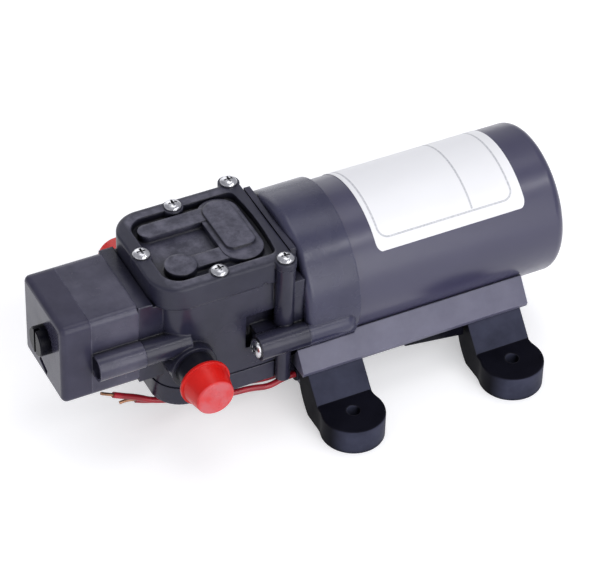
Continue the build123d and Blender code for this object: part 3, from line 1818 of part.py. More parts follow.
make_motor_can()
make_motor_bell()
make_bushes()
make_shaft()
make_armature()
make_commutator()
make_brush_gear()
make_magnets()
make_label()
make_crank()
make_rod()
make_diaphragm()
make_valve_plate()
make_valves()
make_pump_head()
make_base_plate()
make_top_cover()
make_screws()
for port_side, port_name in ((-1, "near_port"), (1, "far_port")):
    make_port(port_side, port_name)
    make_transport_cap(port_side, port_name.replace("port", "transport_cap"))
make_switch_cap()
make_switch_body()
make_switch_inside()
make_rail()
for foot_label, foot_x in foot_x_places:
    for foot_side in (-1, 1):
        make_foot(foot_label, foot_x, foot_side)
make_lead("feed_lead", feed_route, -lead_spread)
make_lead("return_lead", return_route, lead_spread)
make_lead_tips()
make_gland_and_inner_leads()
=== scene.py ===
import math

import bpy
from mathutils import Euler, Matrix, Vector


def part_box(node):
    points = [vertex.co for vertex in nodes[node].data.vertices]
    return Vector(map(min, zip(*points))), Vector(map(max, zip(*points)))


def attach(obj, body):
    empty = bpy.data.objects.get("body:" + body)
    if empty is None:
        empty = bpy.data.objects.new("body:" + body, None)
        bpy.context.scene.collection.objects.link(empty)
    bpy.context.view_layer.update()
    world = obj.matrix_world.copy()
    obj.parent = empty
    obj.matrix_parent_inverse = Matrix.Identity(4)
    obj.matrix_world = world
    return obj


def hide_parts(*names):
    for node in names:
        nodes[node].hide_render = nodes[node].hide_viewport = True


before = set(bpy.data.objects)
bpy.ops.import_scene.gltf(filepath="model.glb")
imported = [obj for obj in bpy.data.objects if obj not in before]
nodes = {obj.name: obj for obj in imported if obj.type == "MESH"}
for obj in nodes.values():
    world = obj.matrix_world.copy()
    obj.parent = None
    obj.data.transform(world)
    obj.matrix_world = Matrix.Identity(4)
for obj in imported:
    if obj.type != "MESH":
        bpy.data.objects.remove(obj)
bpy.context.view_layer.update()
mm = 0.001
motorAxis = 35.6 * mm
print("frame loaded with", len(nodes), "nodes")


# Camera

camera = {
    "place": (-0.3210, -0.6187, 0.6394),
    "turn": (48.754, -1.391, -26.516),
    "lens": 184.76,
    "sensor": 36,
    "reach": 20,
}


def makeCamera():
    data = bpy.data.cameras.new("pumpCamera")
    data.sensor_width = camera["sensor"]
    data.lens = camera["lens"]
    data.clip_end = camera["reach"]
    eye = bpy.data.objects.new("pumpCamera", data)
    eye.location = camera["place"]
    eye.rotation_euler = Euler([math.radians(angle) for angle in camera["turn"]])
    bpy.context.collection.objects.link(eye)
    bpy.context.scene.camera = eye


makeCamera()


# Node helpers for materials

rays = {"rounding": 6, "corners": 8}
noiseMiddle = (0.3, 0.7)


def newMaterial(name):
    material = bpy.data.materials.new(name)
    material.use_nodes = True
    tree = material.node_tree
    shader = tree.nodes["Principled BSDF"]
    coords = tree.nodes.new("ShaderNodeTexCoord")
    return material, tree, shader, coords.outputs["Object"]


def link(tree, start, end):
    tree.links.new(start, end)


def noise(tree, coords, scale, detail=4, rough=0.55, stretch=None):
    texture = tree.nodes.new("ShaderNodeTexNoise")
    texture.inputs["Scale"].default_value = scale
    texture.inputs["Detail"].default_value = detail
    texture.inputs["Roughness"].default_value = rough
    if stretch:
        mapping = tree.nodes.new("ShaderNodeMapping")
        mapping.inputs["Scale"].default_value = stretch
        link(tree, coords, mapping.inputs["Vector"])
        coords = mapping.outputs["Vector"]
    link(tree, coords, texture.inputs["Vector"])
    return texture.outputs["Fac"]


def ramp(tree, value, places, colours):
    node = tree.nodes.new("ShaderNodeValToRGB")
    elements = node.color_ramp.elements
    for element, place, colour in zip(elements, places, colours):
        element.position = place
        element.color = (*colour, 1)
    link(tree, value, node.inputs["Fac"])
    return node.outputs["Color"]


# Stretches a span of values, by default the middle of a noise, to low and high
def spread(tree, value, low, high, span=noiseMiddle):
    node = tree.nodes.new("ShaderNodeMapRange")
    node.inputs["From Min"].default_value = span[0]
    node.inputs["From Max"].default_value = span[1]
    node.inputs["To Min"].default_value = low
    node.inputs["To Max"].default_value = high
    link(tree, value, node.inputs["Value"])
    return node.outputs["Result"]


def calc(tree, operation, *values):
    node = tree.nodes.new("ShaderNodeMath")
    node.operation = operation
    for socket, value in zip(node.inputs, values):
        if isinstance(value, (int, float)):
            socket.default_value = value
        else:
            link(tree, value, socket)
    return node.outputs["Value"]


# Cloudy patches between the look's least value and 1
def patchesOf(tree, coords, look):
    cloud = noise(tree, coords, look["patchScale"], look["patchDetail"], look["patchRough"])
    return spread(tree, cloud, look["least"], 1, look["patches"])


# Roughness that wanders between the two values of a look
def varyRoughness(tree, shader, coords, scale, rough, detail=3):
    wander = spread(tree, noise(tree, coords, scale, detail), *rough)
    link(tree, wander, shader.inputs["Roughness"])


def splitAxes(tree, vector):
    node = tree.nodes.new("ShaderNodeSeparateXYZ")
    link(tree, vector, node.inputs["Vector"])
    return node.outputs["X"], node.outputs["Y"], node.outputs["Z"]


def mixColour(tree, factor, first, second):
    node = tree.nodes.new("ShaderNodeMix")
    node.data_type = "RGBA"
    sockets = [s for s in node.inputs if s.type == "RGBA"]
    for socket, value in zip(sockets, (first, second)):
        if isinstance(value, (tuple, list)):
            socket.default_value = (*value, 1)
        else:
            link(tree, value, socket)
    link(tree, factor, node.inputs["Factor"])
    return next(s for s in node.outputs if s.type == "RGBA")


# A normal that turns softly over sharp edges
def roundEdges(tree, radius):
    node = tree.nodes.new("ShaderNodeBevel")
    node.samples = rays["rounding"]
    node.inputs["Radius"].default_value = radius
    return node.outputs["Normal"]


# Bumps laid over each other, each with its height, strength and depth in metres
def bumpOn(tree, shader, heights, normal=None):
    for height, strength, distance in heights:
        node = tree.nodes.new("ShaderNodeBump")
        node.inputs["Strength"].default_value = strength
        node.inputs["Distance"].default_value = distance
        link(tree, height, node.inputs["Height"])
        if normal:
            link(tree, normal, node.inputs["Normal"])
        normal = node.outputs["Normal"]
    link(tree, normal, shader.inputs["Normal"])


# How open the surface lies: 0 in a tight corner, 1 in the open
def openness(tree, reach):
    node = tree.nodes.new("ShaderNodeAmbientOcclusion")
    node.samples = rays["corners"]
    node.inputs["Distance"].default_value = reach
    return node.outputs["AO"]


cornerSpan = (0.15, 0.85)


# Painted shade: darker colour where surfaces stand close together
def shadeCorners(tree, colour, clear, depth):
    scale = tree.nodes.new("ShaderNodeVectorMath")
    scale.operation = "SCALE"
    link(tree, colour, scale.inputs["Vector"])
    link(tree, spread(tree, clear, depth, 1, cornerSpan), scale.inputs["Scale"])
    return scale.outputs["Vector"]


# Painted highlight and rubbed wear on the outer edges: the tilt and openness spans, and the
# patches
wearAndHighlight = {
    "tilt": (0.82, 0.99),
    "outer": (0.75, 0.95),
    "patchScale": 300,
    "patchDetail": 3,
    "patchRough": 0.55,
    "patches": (0.35, 0.65),
    "least": 0.3,
}


# Paler colour along the outer edges, from how far the rounding tilts the surface: rubbed wear
# together with a painted highlight
def edgeWearAndHighlight(tree, coords, rounded, clear):
    geometry = tree.nodes.new("ShaderNodeNewGeometry")
    tilt = tree.nodes.new("ShaderNodeVectorMath")
    tilt.operation = "DOT_PRODUCT"
    link(tree, geometry.outputs["Normal"], tilt.inputs[0])
    link(tree, rounded, tilt.inputs[1])
    turned = spread(tree, tilt.outputs["Value"], 1, 0, wearAndHighlight["tilt"])
    outer = spread(tree, clear, 0, 1, wearAndHighlight["outer"])
    turnedOut = calc(tree, "MULTIPLY", turned, outer)
    return calc(tree, "MULTIPLY", turnedOut, patchesOf(tree, coords, wearAndHighlight))


# How far a coordinate lies outside a span that is shortened by the corner radius
def outsideSpan(tree, value, low, high, corner):
    away = calc(tree, "ABSOLUTE", calc(tree, "SUBTRACT", value, (low + high) / 2))
    return calc(tree, "SUBTRACT", away, (high - low) / 2 - corner)


# Distance to a rectangle with rounded corners, below zero inside it
def roundedFrame(tree, first, second, corner):
    across = outsideSpan(tree, *first, corner)
    down = outsideSpan(tree, *second, corner)
    squares = [calc(tree, "POWER", calc(tree, "MAXIMUM", side, 0), 2) for side in (across, down)]
    outer = calc(tree, "SQRT", calc(tree, "ADD", *squares))
    inner = calc(tree, "MINIMUM", calc(tree, "MAXIMUM", across, down), 0)
    return calc(tree, "SUBTRACT", calc(tree, "ADD", outer, inner), corner)


# Moulded plastics and rubbers

moulded = {
    "reach": 0.0026,
    "corners": 0.06,
    "cloudScale": 75,
    "cloudDetail": 5,
    "cloudRough": 0.62,
    "clouds": (0.36, 0.66),
    "roughScale": 140,
    "grainScale": 2600,
    "grainDepth": 0.00003,
    "sinkScale": 120,
    "sink": 0.25,
    "sinkDepth": 0.00012,
}
mouldings = {
    "headPlastic": {
        "colour": (0.018, 0.018, 0.035),
        "light": (0.031, 0.030, 0.053),
        "rough": (0.18, 0.30),
        "grain": 0.30,
        "edge": 0.0007,
        "specular": 0.34,
        "reach": 0.006,
        "corners": 0.02,
    },
    "switchPlastic": {
        "colour": (0.034, 0.033, 0.058),
        "light": (0.072, 0.069, 0.104),
        "rough": (0.17, 0.29),
        "grain": 0.25,
        "edge": 0.0007,
        "specular": 0.32,
        "reach": 0.004,
        "corners": 0.02,
    },
    "capPlastic": {
        "colour": (0.036, 0.034, 0.058),
        "light": (0.050, 0.048, 0.078),
        "rough": (0.16, 0.26),
        "grain": 0.15,
        "edge": 0.0006,
        "specular": 0.2,
    },
    "bellPlastic": {
        "colour": (0.036, 0.036, 0.070),
        "light": (0.048, 0.048, 0.088),
        "rough": (0.22, 0.32),
        "grain": 0.25,
        "edge": 0.0005,
        "specular": 0.4,
        "reach": 0.005,
        "corners": 0.02,
    },
    "railPlastic": {
        "colour": (0.092, 0.090, 0.142),
        "light": (0.126, 0.123, 0.182),
        "rough": (0.34, 0.46),
        "grain": 0.22,
        "edge": 0.0005,
        "specular": 0.5,
    },
    "coverPlastic": {
        "colour": (0.015, 0.015, 0.031),
        "light": (0.024, 0.024, 0.043),
        "rough": (0.30, 0.44),
        "grain": 0.35,
        "edge": 0.0010,
        "specular": 0.36,
        "reach": 0.0042,
        "corners": 0,
        # Paler tint for the open middle: dust and painted sheen
        "dustAndSheenTint": (0.105, 0.102, 0.140),
    },
    "footRubber": {
        "colour": (0.003, 0.003, 0.006),
        "light": (0.006, 0.006, 0.011),
        "rough": (0.44, 0.56),
        "grain": 0.45,
        "edge": 0.0007,
        "specular": 0.04,
        # Painted light on the upright faces that look along Y
        "sideLightTint": (0.052, 0.055, 0.088),
    },
    "jetBlack": {
        "colour": (0.003, 0.003, 0.006),
        "light": (0.006, 0.006, 0.011),
        "rough": (0.20, 0.30),
        "grain": 0.15,
        "edge": 0.0003,
        "specular": 0.07,
    },
    "redPlastic": {
        "colour": (0.62, 0.009, 0.007),
        "light": (0.74, 0.017, 0.012),
        "rough": (0.24, 0.36),
        "grain": 0.15,
        "edge": 0.0004,
        "specular": 0.26,
        "inside": 0.12,
        "corners": 0.6,
        # Painted glow of light through the cap's thin closed end
        "endGlowTint": (0.60, 0.15, 0.17),
    },
    "nylon": {
        "colour": (0.70, 0.67, 0.58),
        "light": (0.78, 0.76, 0.68),
        "rough": (0.42, 0.52),
        "grain": 0.15,
        "edge": 0.0003,
        "specular": 0.5,
    },
    # Near-black nylon, its darkness partly painted shade for the shadow under the transport caps
    "portNylon": {
        "colour": (0.005, 0.005, 0.010),
        "light": (0.010, 0.010, 0.019),
        "rough": (0.30, 0.42),
        "grain": 0.20,
        "edge": 0.0004,
        "specular": 0.5,
    },
}

endGlow = {
    "layer": (0.0006, 0.0001),
    "most": 0.75,
    "patchScale": 190,
    "patchDetail": 3,
    "patchRough": 0.55,
    "patches": (0.35, 0.6),
    "least": 0.3,
}


# Painted glow: the thin closed end of a transport cap lets light through, so its colour is painted
# paler
def paintedGlowEnds(tree, coords, colour, pale):
    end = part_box("far_transport_cap")[1][1]
    layer = [end - depth for depth in endGlow["layer"]]
    away = calc(tree, "ABSOLUTE", splitAxes(tree, coords)[1])
    onEnd = spread(tree, away, 0, endGlow["most"], layer)
    share = calc(tree, "MULTIPLY", onEnd, patchesOf(tree, coords, endGlow))
    return mixColour(tree, share, colour, pale)


dustAndSheen = {
    "margin": 0.004,
    "corner": 0.004,
    "fade": (-0.0012, 0),
    "patchScale": 240,
    "patchDetail": 5,
    "patchRough": 0.65,
    "patches": (0.38, 0.66),
    "least": 0.15,
    "lying": (0.55, 0.95),
}


# Paler cloudy patches on the raised chambers inside the cover's rim, where the surface lies open:
# settled dust together with a painted sheen
def dustAndSheenMiddle(tree, coords, colour, pale, clear):
    low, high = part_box("top_cover")
    spans = [
        (value, low[n] + dustAndSheen["margin"], high[n] - dustAndSheen["margin"])
        for n, value in enumerate(splitAxes(tree, coords)[:2])
    ]
    inside = spread(tree, roundedFrame(tree, *spans, dustAndSheen["corner"]), 1, 0, dustAndSheen["fade"])
    lying = spread(tree, clear, 0, 1, dustAndSheen["lying"])
    cloudy = calc(tree, "MULTIPLY", inside, patchesOf(tree, coords, dustAndSheen))
    return mixColour(tree, calc(tree, "MULTIPLY", cloudy, lying), colour, pale)


sideLight = {
    "facing": (0.35, 0.8),
    "patchScale": 110,
    "patchDetail": 5,
    "patchRough": 0.6,
    "patches": (0.3, 0.7),
    "least": 0.55,
}


# Painted light: paler grey on the rubber's upright faces that look along Y, standing for the light
# that falls on them
def paintedLightOnSides(tree, coords, colour, pale):
    geometry = tree.nodes.new("ShaderNodeNewGeometry")
    turned = calc(tree, "ABSOLUTE", splitAxes(tree, geometry.outputs["Normal"])[1])
    facing = spread(tree, turned, 0, 1, sideLight["facing"])
    share = calc(tree, "MULTIPLY", facing, patchesOf(tree, coords, sideLight))
    return mixColour(tree, share, colour, pale)


# Light that scatters inside the red plastic
glowInside = {"radius": (0.004, 0.0008, 0.0006), "scale": 0.4}
highlightGain = 1.6
highlightLift = 0.03


def makeMoulding(name):
    look = mouldings[name]
    material, tree, shader, coords = newMaterial(name)
    clear = openness(tree, look.get("reach", moulded["reach"]))
    rounded = roundEdges(tree, look["edge"])
    detail, rough = moulded["cloudDetail"], moulded["cloudRough"]
    cloud = noise(tree, coords, moulded["cloudScale"], detail, rough)
    colour = ramp(tree, cloud, moulded["clouds"], (look["colour"], look["light"]))
    # Painted glow: the thin closed ends made paler
    if "endGlowTint" in look:
        colour = paintedGlowEnds(tree, coords, colour, look["endGlowTint"])
    # Painted light: the upright rubber faces made paler
    if "sideLightTint" in look:
        colour = paintedLightOnSides(tree, coords, colour, look["sideLightTint"])
    # Dust and painted sheen on the open middle inside the rim
    if "dustAndSheenTint" in look:
        colour = dustAndSheenMiddle(tree, coords, colour, look["dustAndSheenTint"], clear)
    # A paler copy of the colour for the outer edges, a painted highlight as well as rubbed wear
    rubbedAndHighlit = tuple(min(1, channel * highlightGain + highlightLift) for channel in look["light"])
    colour = mixColour(tree, edgeWearAndHighlight(tree, coords, rounded, clear), colour, rubbedAndHighlit)
    colour = shadeCorners(tree, colour, clear, look.get("corners", moulded["corners"]))
    link(tree, colour, shader.inputs["Base Color"])
    varyRoughness(tree, shader, coords, moulded["roughScale"], look["rough"])
    shader.inputs["Specular IOR Level"].default_value = look["specular"]
    if "inside" in look:
        shader.inputs["Subsurface Weight"].default_value = look["inside"]
        shader.inputs["Subsurface Radius"].default_value = glowInside["radius"]
        shader.inputs["Subsurface Scale"].default_value = glowInside["scale"]
    grain = noise(tree, coords, moulded["grainScale"], 2)
    sink = noise(tree, coords, moulded["sinkScale"], 2)
    bumps = [
        (grain, look["grain"], moulded["grainDepth"]),
        (sink, moulded["sink"], moulded["sinkDepth"]),
    ]
    bumpOn(tree, shader, bumps, rounded)
    return material


# Metals

machined = {
    "reach": 0.0008,
    "corners": 0.04,
    "cloudScale": 420,
    "cloudDetail": 5,
    "cloudRough": 0.6,
    "clouds": (0.36, 0.62),
    "roughScale": 900,
    "scratchScale": 700,
    "scratchRough": 0.6,
    "scratchStretch": (1, 9, 1),
    "scratch": 0.25,
    "scratchDepth": 0.00002,
    "edge": 0.0002,
}
metals = {
    "screwSteel": {
        "colour": (0.72, 0.72, 0.74),
        "dull": (0.50, 0.50, 0.53),
        "rough": (0.20, 0.34),
    },
    "shaftSteel": {
        "colour": (0.60, 0.60, 0.62),
        "dull": (0.44, 0.44, 0.47),
        "rough": (0.24, 0.36),
    },
    "coreSteel": {
        "colour": (0.36, 0.36, 0.38),
        "dull": (0.22, 0.22, 0.24),
        "rough": (0.42, 0.60),
    },
    "copper": {
        "colour": (0.78, 0.36, 0.20),
        "dull": (0.52, 0.22, 0.12),
        "rough": (0.28, 0.42),
    },
    "agedCopper": {
        "colour": (0.42, 0.22, 0.13),
        "dull": (0.20, 0.11, 0.07),
        "rough": (0.34, 0.50),
    },
    "bronze": {
        "colour": (0.62, 0.42, 0.20),
        "dull": (0.44, 0.30, 0.15),
        "rough": (0.36, 0.50),
    },
    "zinc": {
        "colour": (0.52, 0.52, 0.54),
        "dull": (0.36, 0.36, 0.39),
        "rough": (0.38, 0.52),
    },
}


def makeMetal(name):
    look = metals[name]
    material, tree, shader, coords = newMaterial(name)
    detail, rough = machined["cloudDetail"], machined["cloudRough"]
    cloud = noise(tree, coords, machined["cloudScale"], detail, rough)
    colour = ramp(tree, cloud, machined["clouds"], (look["dull"], look["colour"]))
    clear = openness(tree, machined["reach"])
    link(tree, shadeCorners(tree, colour, clear, machined["corners"]), shader.inputs["Base Color"])
    shader.inputs["Metallic"].default_value = 1
    varyRoughness(tree, shader, coords, machined["roughScale"], look["rough"])
    rough, stretch = machined["scratchRough"], machined["scratchStretch"]
    scratches = noise(tree, coords, machined["scratchScale"], 3, rough, stretch)
    bumps = [(scratches, machined["scratch"], machined["scratchDepth"])]
    bumpOn(tree, shader, bumps, roundEdges(tree, machined["edge"]))
    return material


# Stoved paint on the drawn motor can, with the faint rings that drawing leaves
canPaint = {
    "colour": (0.040, 0.038, 0.078),
    "light": (0.050, 0.047, 0.094),
    "clouds": (0.35, 0.66),
    "cloudScale": 40,
    "cloudStretch": (0.4, 1, 1),
    "rough": (0.28, 0.38),
    "roughScale": 300,
    "coat": 0.25,
    "coatRough": 0.22,
    "ringScale": 500,
    "ringStretch": (1, 0.02, 0.02),
    "rings": 0.10,
    "peelScale": 900,
    "peel": 0.18,
    "depth": 0.00003,
    "edge": 0.0004,
}


def makeCanPaint():
    material, tree, shader, coords = newMaterial("canPaint")
    cloudy = noise(tree, coords, canPaint["cloudScale"], 3, 0.5, canPaint["cloudStretch"])
    colour = ramp(tree, cloudy, canPaint["clouds"], (canPaint["colour"], canPaint["light"]))
    link(tree, colour, shader.inputs["Base Color"])
    varyRoughness(tree, shader, coords, canPaint["roughScale"], canPaint["rough"], 4)
    shader.inputs["Coat Weight"].default_value = canPaint["coat"]
    shader.inputs["Coat Roughness"].default_value = canPaint["coatRough"]
    rings = noise(tree, coords, canPaint["ringScale"], 2, 0.5, canPaint["ringStretch"])
    peel = noise(tree, coords, canPaint["peelScale"], 2)
    depth = canPaint["depth"]
    bumps = [(rings, canPaint["rings"], depth), (peel, canPaint["peel"], depth)]
    bumpOn(tree, shader, bumps, roundEdges(tree, canPaint["edge"]))
    return material


# A blank label: white film with one thin border line and one dividing line
label = {
    "white": (0.85, 0.85, 0.87),
    "ink": (0.30, 0.30, 0.34),
    "line": 0.00022,
    "leftMargin": 0.0018,
    "rightMargin": 0.0034,
    "nearMargin": 0.0036,
    "farMargin": 0.0020,
    "corner": 0.0032,
    "divider": 0.0329,
    "dividerGap": 0.0006,
    "lineBlur": 1.8,
    "fade": (0.35, 0.8),
    "fadeScale": 1800,
    "aged": 0.965,
    "agedScale": 35,
    "rough": (0.34, 0.48),
    "roughScale": 90,
    "waveScale": 60,
    "wave": 0.3,
    "waveDepth": 0.00006,
    "fibreScale": 1500,
    "fibre": 0.1,
    "fibreDepth": 0.00002,
}


# 1 on a thin line where a distance is zero, 0 elsewhere
def strokeOf(tree, distance):
    away = calc(tree, "ABSOLUTE", distance)
    return spread(tree, away, 1, 0, (label["line"], label["line"] * label["lineBlur"]))


def makeLabelPaper():
    low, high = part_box("motor_label")
    radius = high[2] - motorAxis
    halfArc = math.asin(high[1] / radius) * radius
    material, tree, shader, coords = newMaterial("labelFilm")
    along, across, up = splitAxes(tree, coords)
    angle = calc(tree, "ARCTAN2", across, calc(tree, "SUBTRACT", up, motorAxis))
    arc = calc(tree, "MULTIPLY", angle, radius)
    left, right = low[0] + label["leftMargin"], high[0] - label["rightMargin"]
    near, far = label["nearMargin"] - halfArc, halfArc - label["farMargin"]
    border = roundedFrame(tree, (along, left, right), (arc, near, far), label["corner"])
    divider = calc(tree, "SUBTRACT", along, low[0] + label["divider"])
    inside = calc(tree, "LESS_THAN", border, -label["dividerGap"])
    dividing = calc(tree, "MULTIPLY", strokeOf(tree, divider), inside)
    mask = calc(tree, "MAXIMUM", strokeOf(tree, border), dividing)
    fade = spread(tree, noise(tree, coords, label["fadeScale"], 3), *label["fade"])
    aged = tuple(channel * label["aged"] for channel in label["white"])
    cloud = noise(tree, coords, label["agedScale"])
    film = ramp(tree, cloud, noiseMiddle, (label["white"], aged))
    colour = mixColour(tree, calc(tree, "MULTIPLY", mask, fade), film, label["ink"])
    link(tree, colour, shader.inputs["Base Color"])
    varyRoughness(tree, shader, coords, label["roughScale"], label["rough"])
    wave = noise(tree, coords, label["waveScale"], 3)
    fibre = noise(tree, coords, label["fibreScale"], 2)
    bumps = [
        (wave, label["wave"], label["waveDepth"]),
        (fibre, label["fibre"], label["fibreDepth"]),
    ]
    bumpOn(tree, shader, bumps)
    return material


# The sleeve of a lead, with a slight wave along it
leadLook = {
    "colour": (0.26, 0.006, 0.015),
    "light": (0.38, 0.012, 0.026),
    "clouds": (0.35, 0.68),
    "cloudScale": 260,
    "rough": (0.26, 0.42),
    "roughScale": 600,
    "waveScale": 1100,
    "wave": 0.3,
    "waveDepth": 0.00004,
}


def makeLeadSleeve():
    material, tree, shader, coords = newMaterial("leadSleeve")
    cloud = noise(tree, coords, leadLook["cloudScale"], 3)
    colour = ramp(tree, cloud, leadLook["clouds"], (leadLook["colour"], leadLook["light"]))
    link(tree, colour, shader.inputs["Base Color"])
    varyRoughness(tree, shader, coords, leadLook["roughScale"], leadLook["rough"])
    wave = noise(tree, coords, leadLook["waveScale"], 3)
    bumpOn(tree, shader, [(wave, leadLook["wave"], leadLook["waveDepth"])])
    return material


# Sintered magnets and carbon: dark, dull and gritty
grit = {
    "dark": (0.03, 0.03, 0.033),
    "light": (0.10, 0.10, 0.11),
    "grains": (0.3, 0.75),
    "scale": 1500,
    "detail": 6,
    "harsh": 0.7,
    "rough": (0.55, 0.8),
    "bump": 0.5,
    "depth": 0.00006,
}


def makeSintered():
    material, tree, shader, coords = newMaterial("sintered")
    grains = noise(tree, coords, grit["scale"], grit["detail"], grit["harsh"])
    colour = ramp(tree, grains, grit["grains"], (grit["dark"], grit["light"]))
    link(tree, colour, shader.inputs["Base Color"])
    link(tree, spread(tree, grains, *grit["rough"]), shader.inputs["Roughness"])
    bumpOn(tree, shader, [(grains, grit["bump"], grit["depth"])])
    return material


materials = {name: makeMoulding(name) for name in mouldings}
materials.update({name: makeMetal(name) for name in metals})
materials["canPaint"] = makeCanPaint()
materials["labelFilm"] = makeLabelPaper()
materials["leadSleeve"] = makeLeadSleeve()
materials["sintered"] = makeSintered()
print("materials made:", len(materials))


# The nodes that wear one finish, from rows of their names
def wearing(*rows):
    return [name for row in rows for name in row.split()]


finishes = {
    "headPlastic": wearing("pump_head base_plate"),
    "switchPlastic": wearing("switch_body"),
    "capPlastic": wearing("switch_cap"),
    "bellPlastic": wearing("motor_bell"),
    "coverPlastic": wearing("top_cover"),
    "railPlastic": wearing("motor_rail"),
    "footRubber": wearing(
        "front_near_foot front_far_foot rear_near_foot rear_far_foot lead_gland",
        "near_port_seal far_port_seal diaphragm switch_membrane inlet_valve outlet_valve",
    ),
    "redPlastic": wearing("near_transport_cap far_transport_cap"),
    "portNylon": wearing("near_port far_port"),
    "jetBlack": wearing("adjust_screw"),
    "nylon": wearing(
        "connecting_rod valve_plate switch_plunger micro_button micro_switch brush_card"
    ),
    "canPaint": wearing("motor_can"),
    "labelFilm": wearing("motor_label"),
    "screwSteel": wearing(
        "cover_screws corner_screws side_screws switch_screws base_screws rail_screws"
    ),
    "shaftSteel": wearing(
        "motor_shaft eccentric_grub_screw rod_bearing_inner rod_bearing_outer rod_bearing_balls",
        "diaphragm_screw diaphragm_washer pressure_spring brush_springs",
    ),
    "coreSteel": wearing("armature_core"),
    "copper": wearing("armature_windings commutator switch_terminals"),
    "agedCopper": wearing("lead_tips"),
    "bronze": wearing("front_bush rear_bush"),
    "sintered": wearing("field_magnets brushes"),
    "zinc": wearing("eccentric"),
    "leadSleeve": wearing("inner_leads feed_lead return_lead"),
}


def dressNodes():
    for finish, names in finishes.items():
        for name in names:
            nodes[name].data.materials.clear()
            nodes[name].data.materials.append(materials[finish])
    bare = set(nodes) - {name for names in finishes.values() for name in names}
    print("nodes dressed:", len(nodes) - len(bare), "bare:", sorted(bare))


dressNodes()


# Pieces that the frame doesn't hold, shaped with the edit operators

shaping = {"steps": 4, "smoothAngle": 40, "tolerance": 0.0001}


def startPiece(name):
    piece = bpy.context.object
    piece.name = name
    bpy.ops.object.transform_apply(location=True, rotation=True, scale=True)
    return piece


# Deselects all, then selects the faces or corners that are wanted
def choose(items, wanted):
    bpy.ops.object.mode_set(mode="EDIT")
    bpy.ops.mesh.select_all(action="DESELECT")
    bpy.ops.object.mode_set(mode="OBJECT")
    for item in items:
        item.select = wanted(item)
    bpy.ops.object.mode_set(mode="EDIT")


def finishPiece(piece, width, finish):
    bpy.ops.object.mode_set(mode="OBJECT")
    rounding = piece.modifiers.new("rounding", "BEVEL")
    rounding.width = width
    rounding.segments = shaping["steps"]
    rounding.limit_method = "ANGLE"
    bpy.ops.object.modifier_apply(modifier=rounding.name)
    bpy.ops.object.shade_smooth_by_angle(angle=math.radians(shaping["smoothAngle"]))
    piece.data.materials.append(materials[finish])
    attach(piece, "pump")


# The round seat of the rear bush, drawn outwards from the can's closed end
rearSeat = {
    "radius": 0.0074,
    "rise": 0.0015,
    "sunk": 0.0004,
    "rim": 0.0019,
    "dish": 0.0006,
    "edge": 0.0005,
    "sides": 72,
}


def makeRearSeat():
    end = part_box("motor_can")[1][0]
    depth = rearSeat["rise"] + rearSeat["sunk"]
    bpy.ops.object.select_all(action="DESELECT")
    bpy.ops.mesh.primitive_cylinder_add(
        vertices=rearSeat["sides"],
        radius=rearSeat["radius"],
        depth=depth,
        location=(end - rearSeat["sunk"] + depth / 2, 0, motorAxis),
        rotation=(0, math.pi / 2, 0),
    )
    seat = startPiece("rearSeat")
    choose(seat.data.polygons, lambda face: face.normal.x > 0.9)
    bpy.ops.mesh.inset(thickness=rearSeat["rim"])
    bpy.ops.transform.translate(value=(-rearSeat["dish"], 0, 0))
    finishPiece(seat, rearSeat["edge"], "canPaint")


makeRearSeat()
print("rear seat drawn")


# The rubber web that runs forward from each rear foot under the rail's wing
footWeb = {
    "length": 0.0205,
    "near": 0.0252,
    "inner": 0.0215,
    "top": 0.01555,
    "deep": 0.0046,
    "shallow": 0.0017,
    "edge": 0.0004,
}


def makeFootWeb(name, side):
    long, deep = footWeb["length"], footWeb["deep"]
    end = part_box("rear_near_foot")[0][0] + shaping["tolerance"]
    thick = footWeb["near"] - footWeb["inner"]
    middle = (footWeb["near"] + footWeb["inner"]) / 2
    bpy.ops.object.select_all(action="DESELECT")
    bpy.ops.mesh.primitive_cube_add(
        size=1,
        location=(end - long / 2, side * middle, footWeb["top"] - deep / 2),
        scale=(long, thick, deep),
    )
    web = startPiece(name)
    start = end - long + shaping["tolerance"]
    low = footWeb["top"] - deep + shaping["tolerance"]
    choose(web.data.vertices, lambda corner: corner.co.x < start and corner.co.z < low)
    bpy.ops.transform.translate(value=(0, 0, deep - footWeb["shallow"]))
    finishPiece(web, footWeb["edge"], "jetBlack")


makeFootWeb("nearFootWeb", -1)
makeFootWeb("farFootWeb", 1)
print("foot webs made")


# Loose leads on the routes of the frame's own leads, in millimetres from each lead's exit

leadExit = Vector((-0.00625, -0.0174, 0.0103))
leadSpread = 0.0011
leadDiameter = 0.0019
leadRound = 5
leadSteps = 12
leads = {
    "feedLead": {
        "node": "feed_lead",
        "offset": -leadSpread,
        "length": 0.0585,
        "route": [
            (0, 0, 0),
            (-3.7, 0, 0),
            (-8.6, 0.1, -1.9),
            (-14.3, 0.7, -0.7),
            (-21.1, 1.5, -1.1),
            (-28.6, 4.0, -1.5),
            (-36.1, 6.9, -1.9),
            (-42.6, 9.0, -1.6),
            (-47.6, 9.6, 1.3),
            (-51.6, 9.4, 3.4),
            (-55.2, 9.6, 5.2),
        ],
    },
    "returnLead": {
        "node": "return_lead",
        "offset": leadSpread,
        "length": 0.0489,
        "route": [
            (0, 0, 0),
            (-3.5, 0, 0),
            (-8.3, 0.4, -0.7),
            (-14.6, 1.4, -0.4),
            (-22.1, 3.2, -1.0),
            (-29.6, 5.5, -1.9),
            (-36.6, 7.8, -3.4),
            (-42.3, 9.2, -3.9),
            (-47.1, 9.5, -1.8),
        ],
    },
}


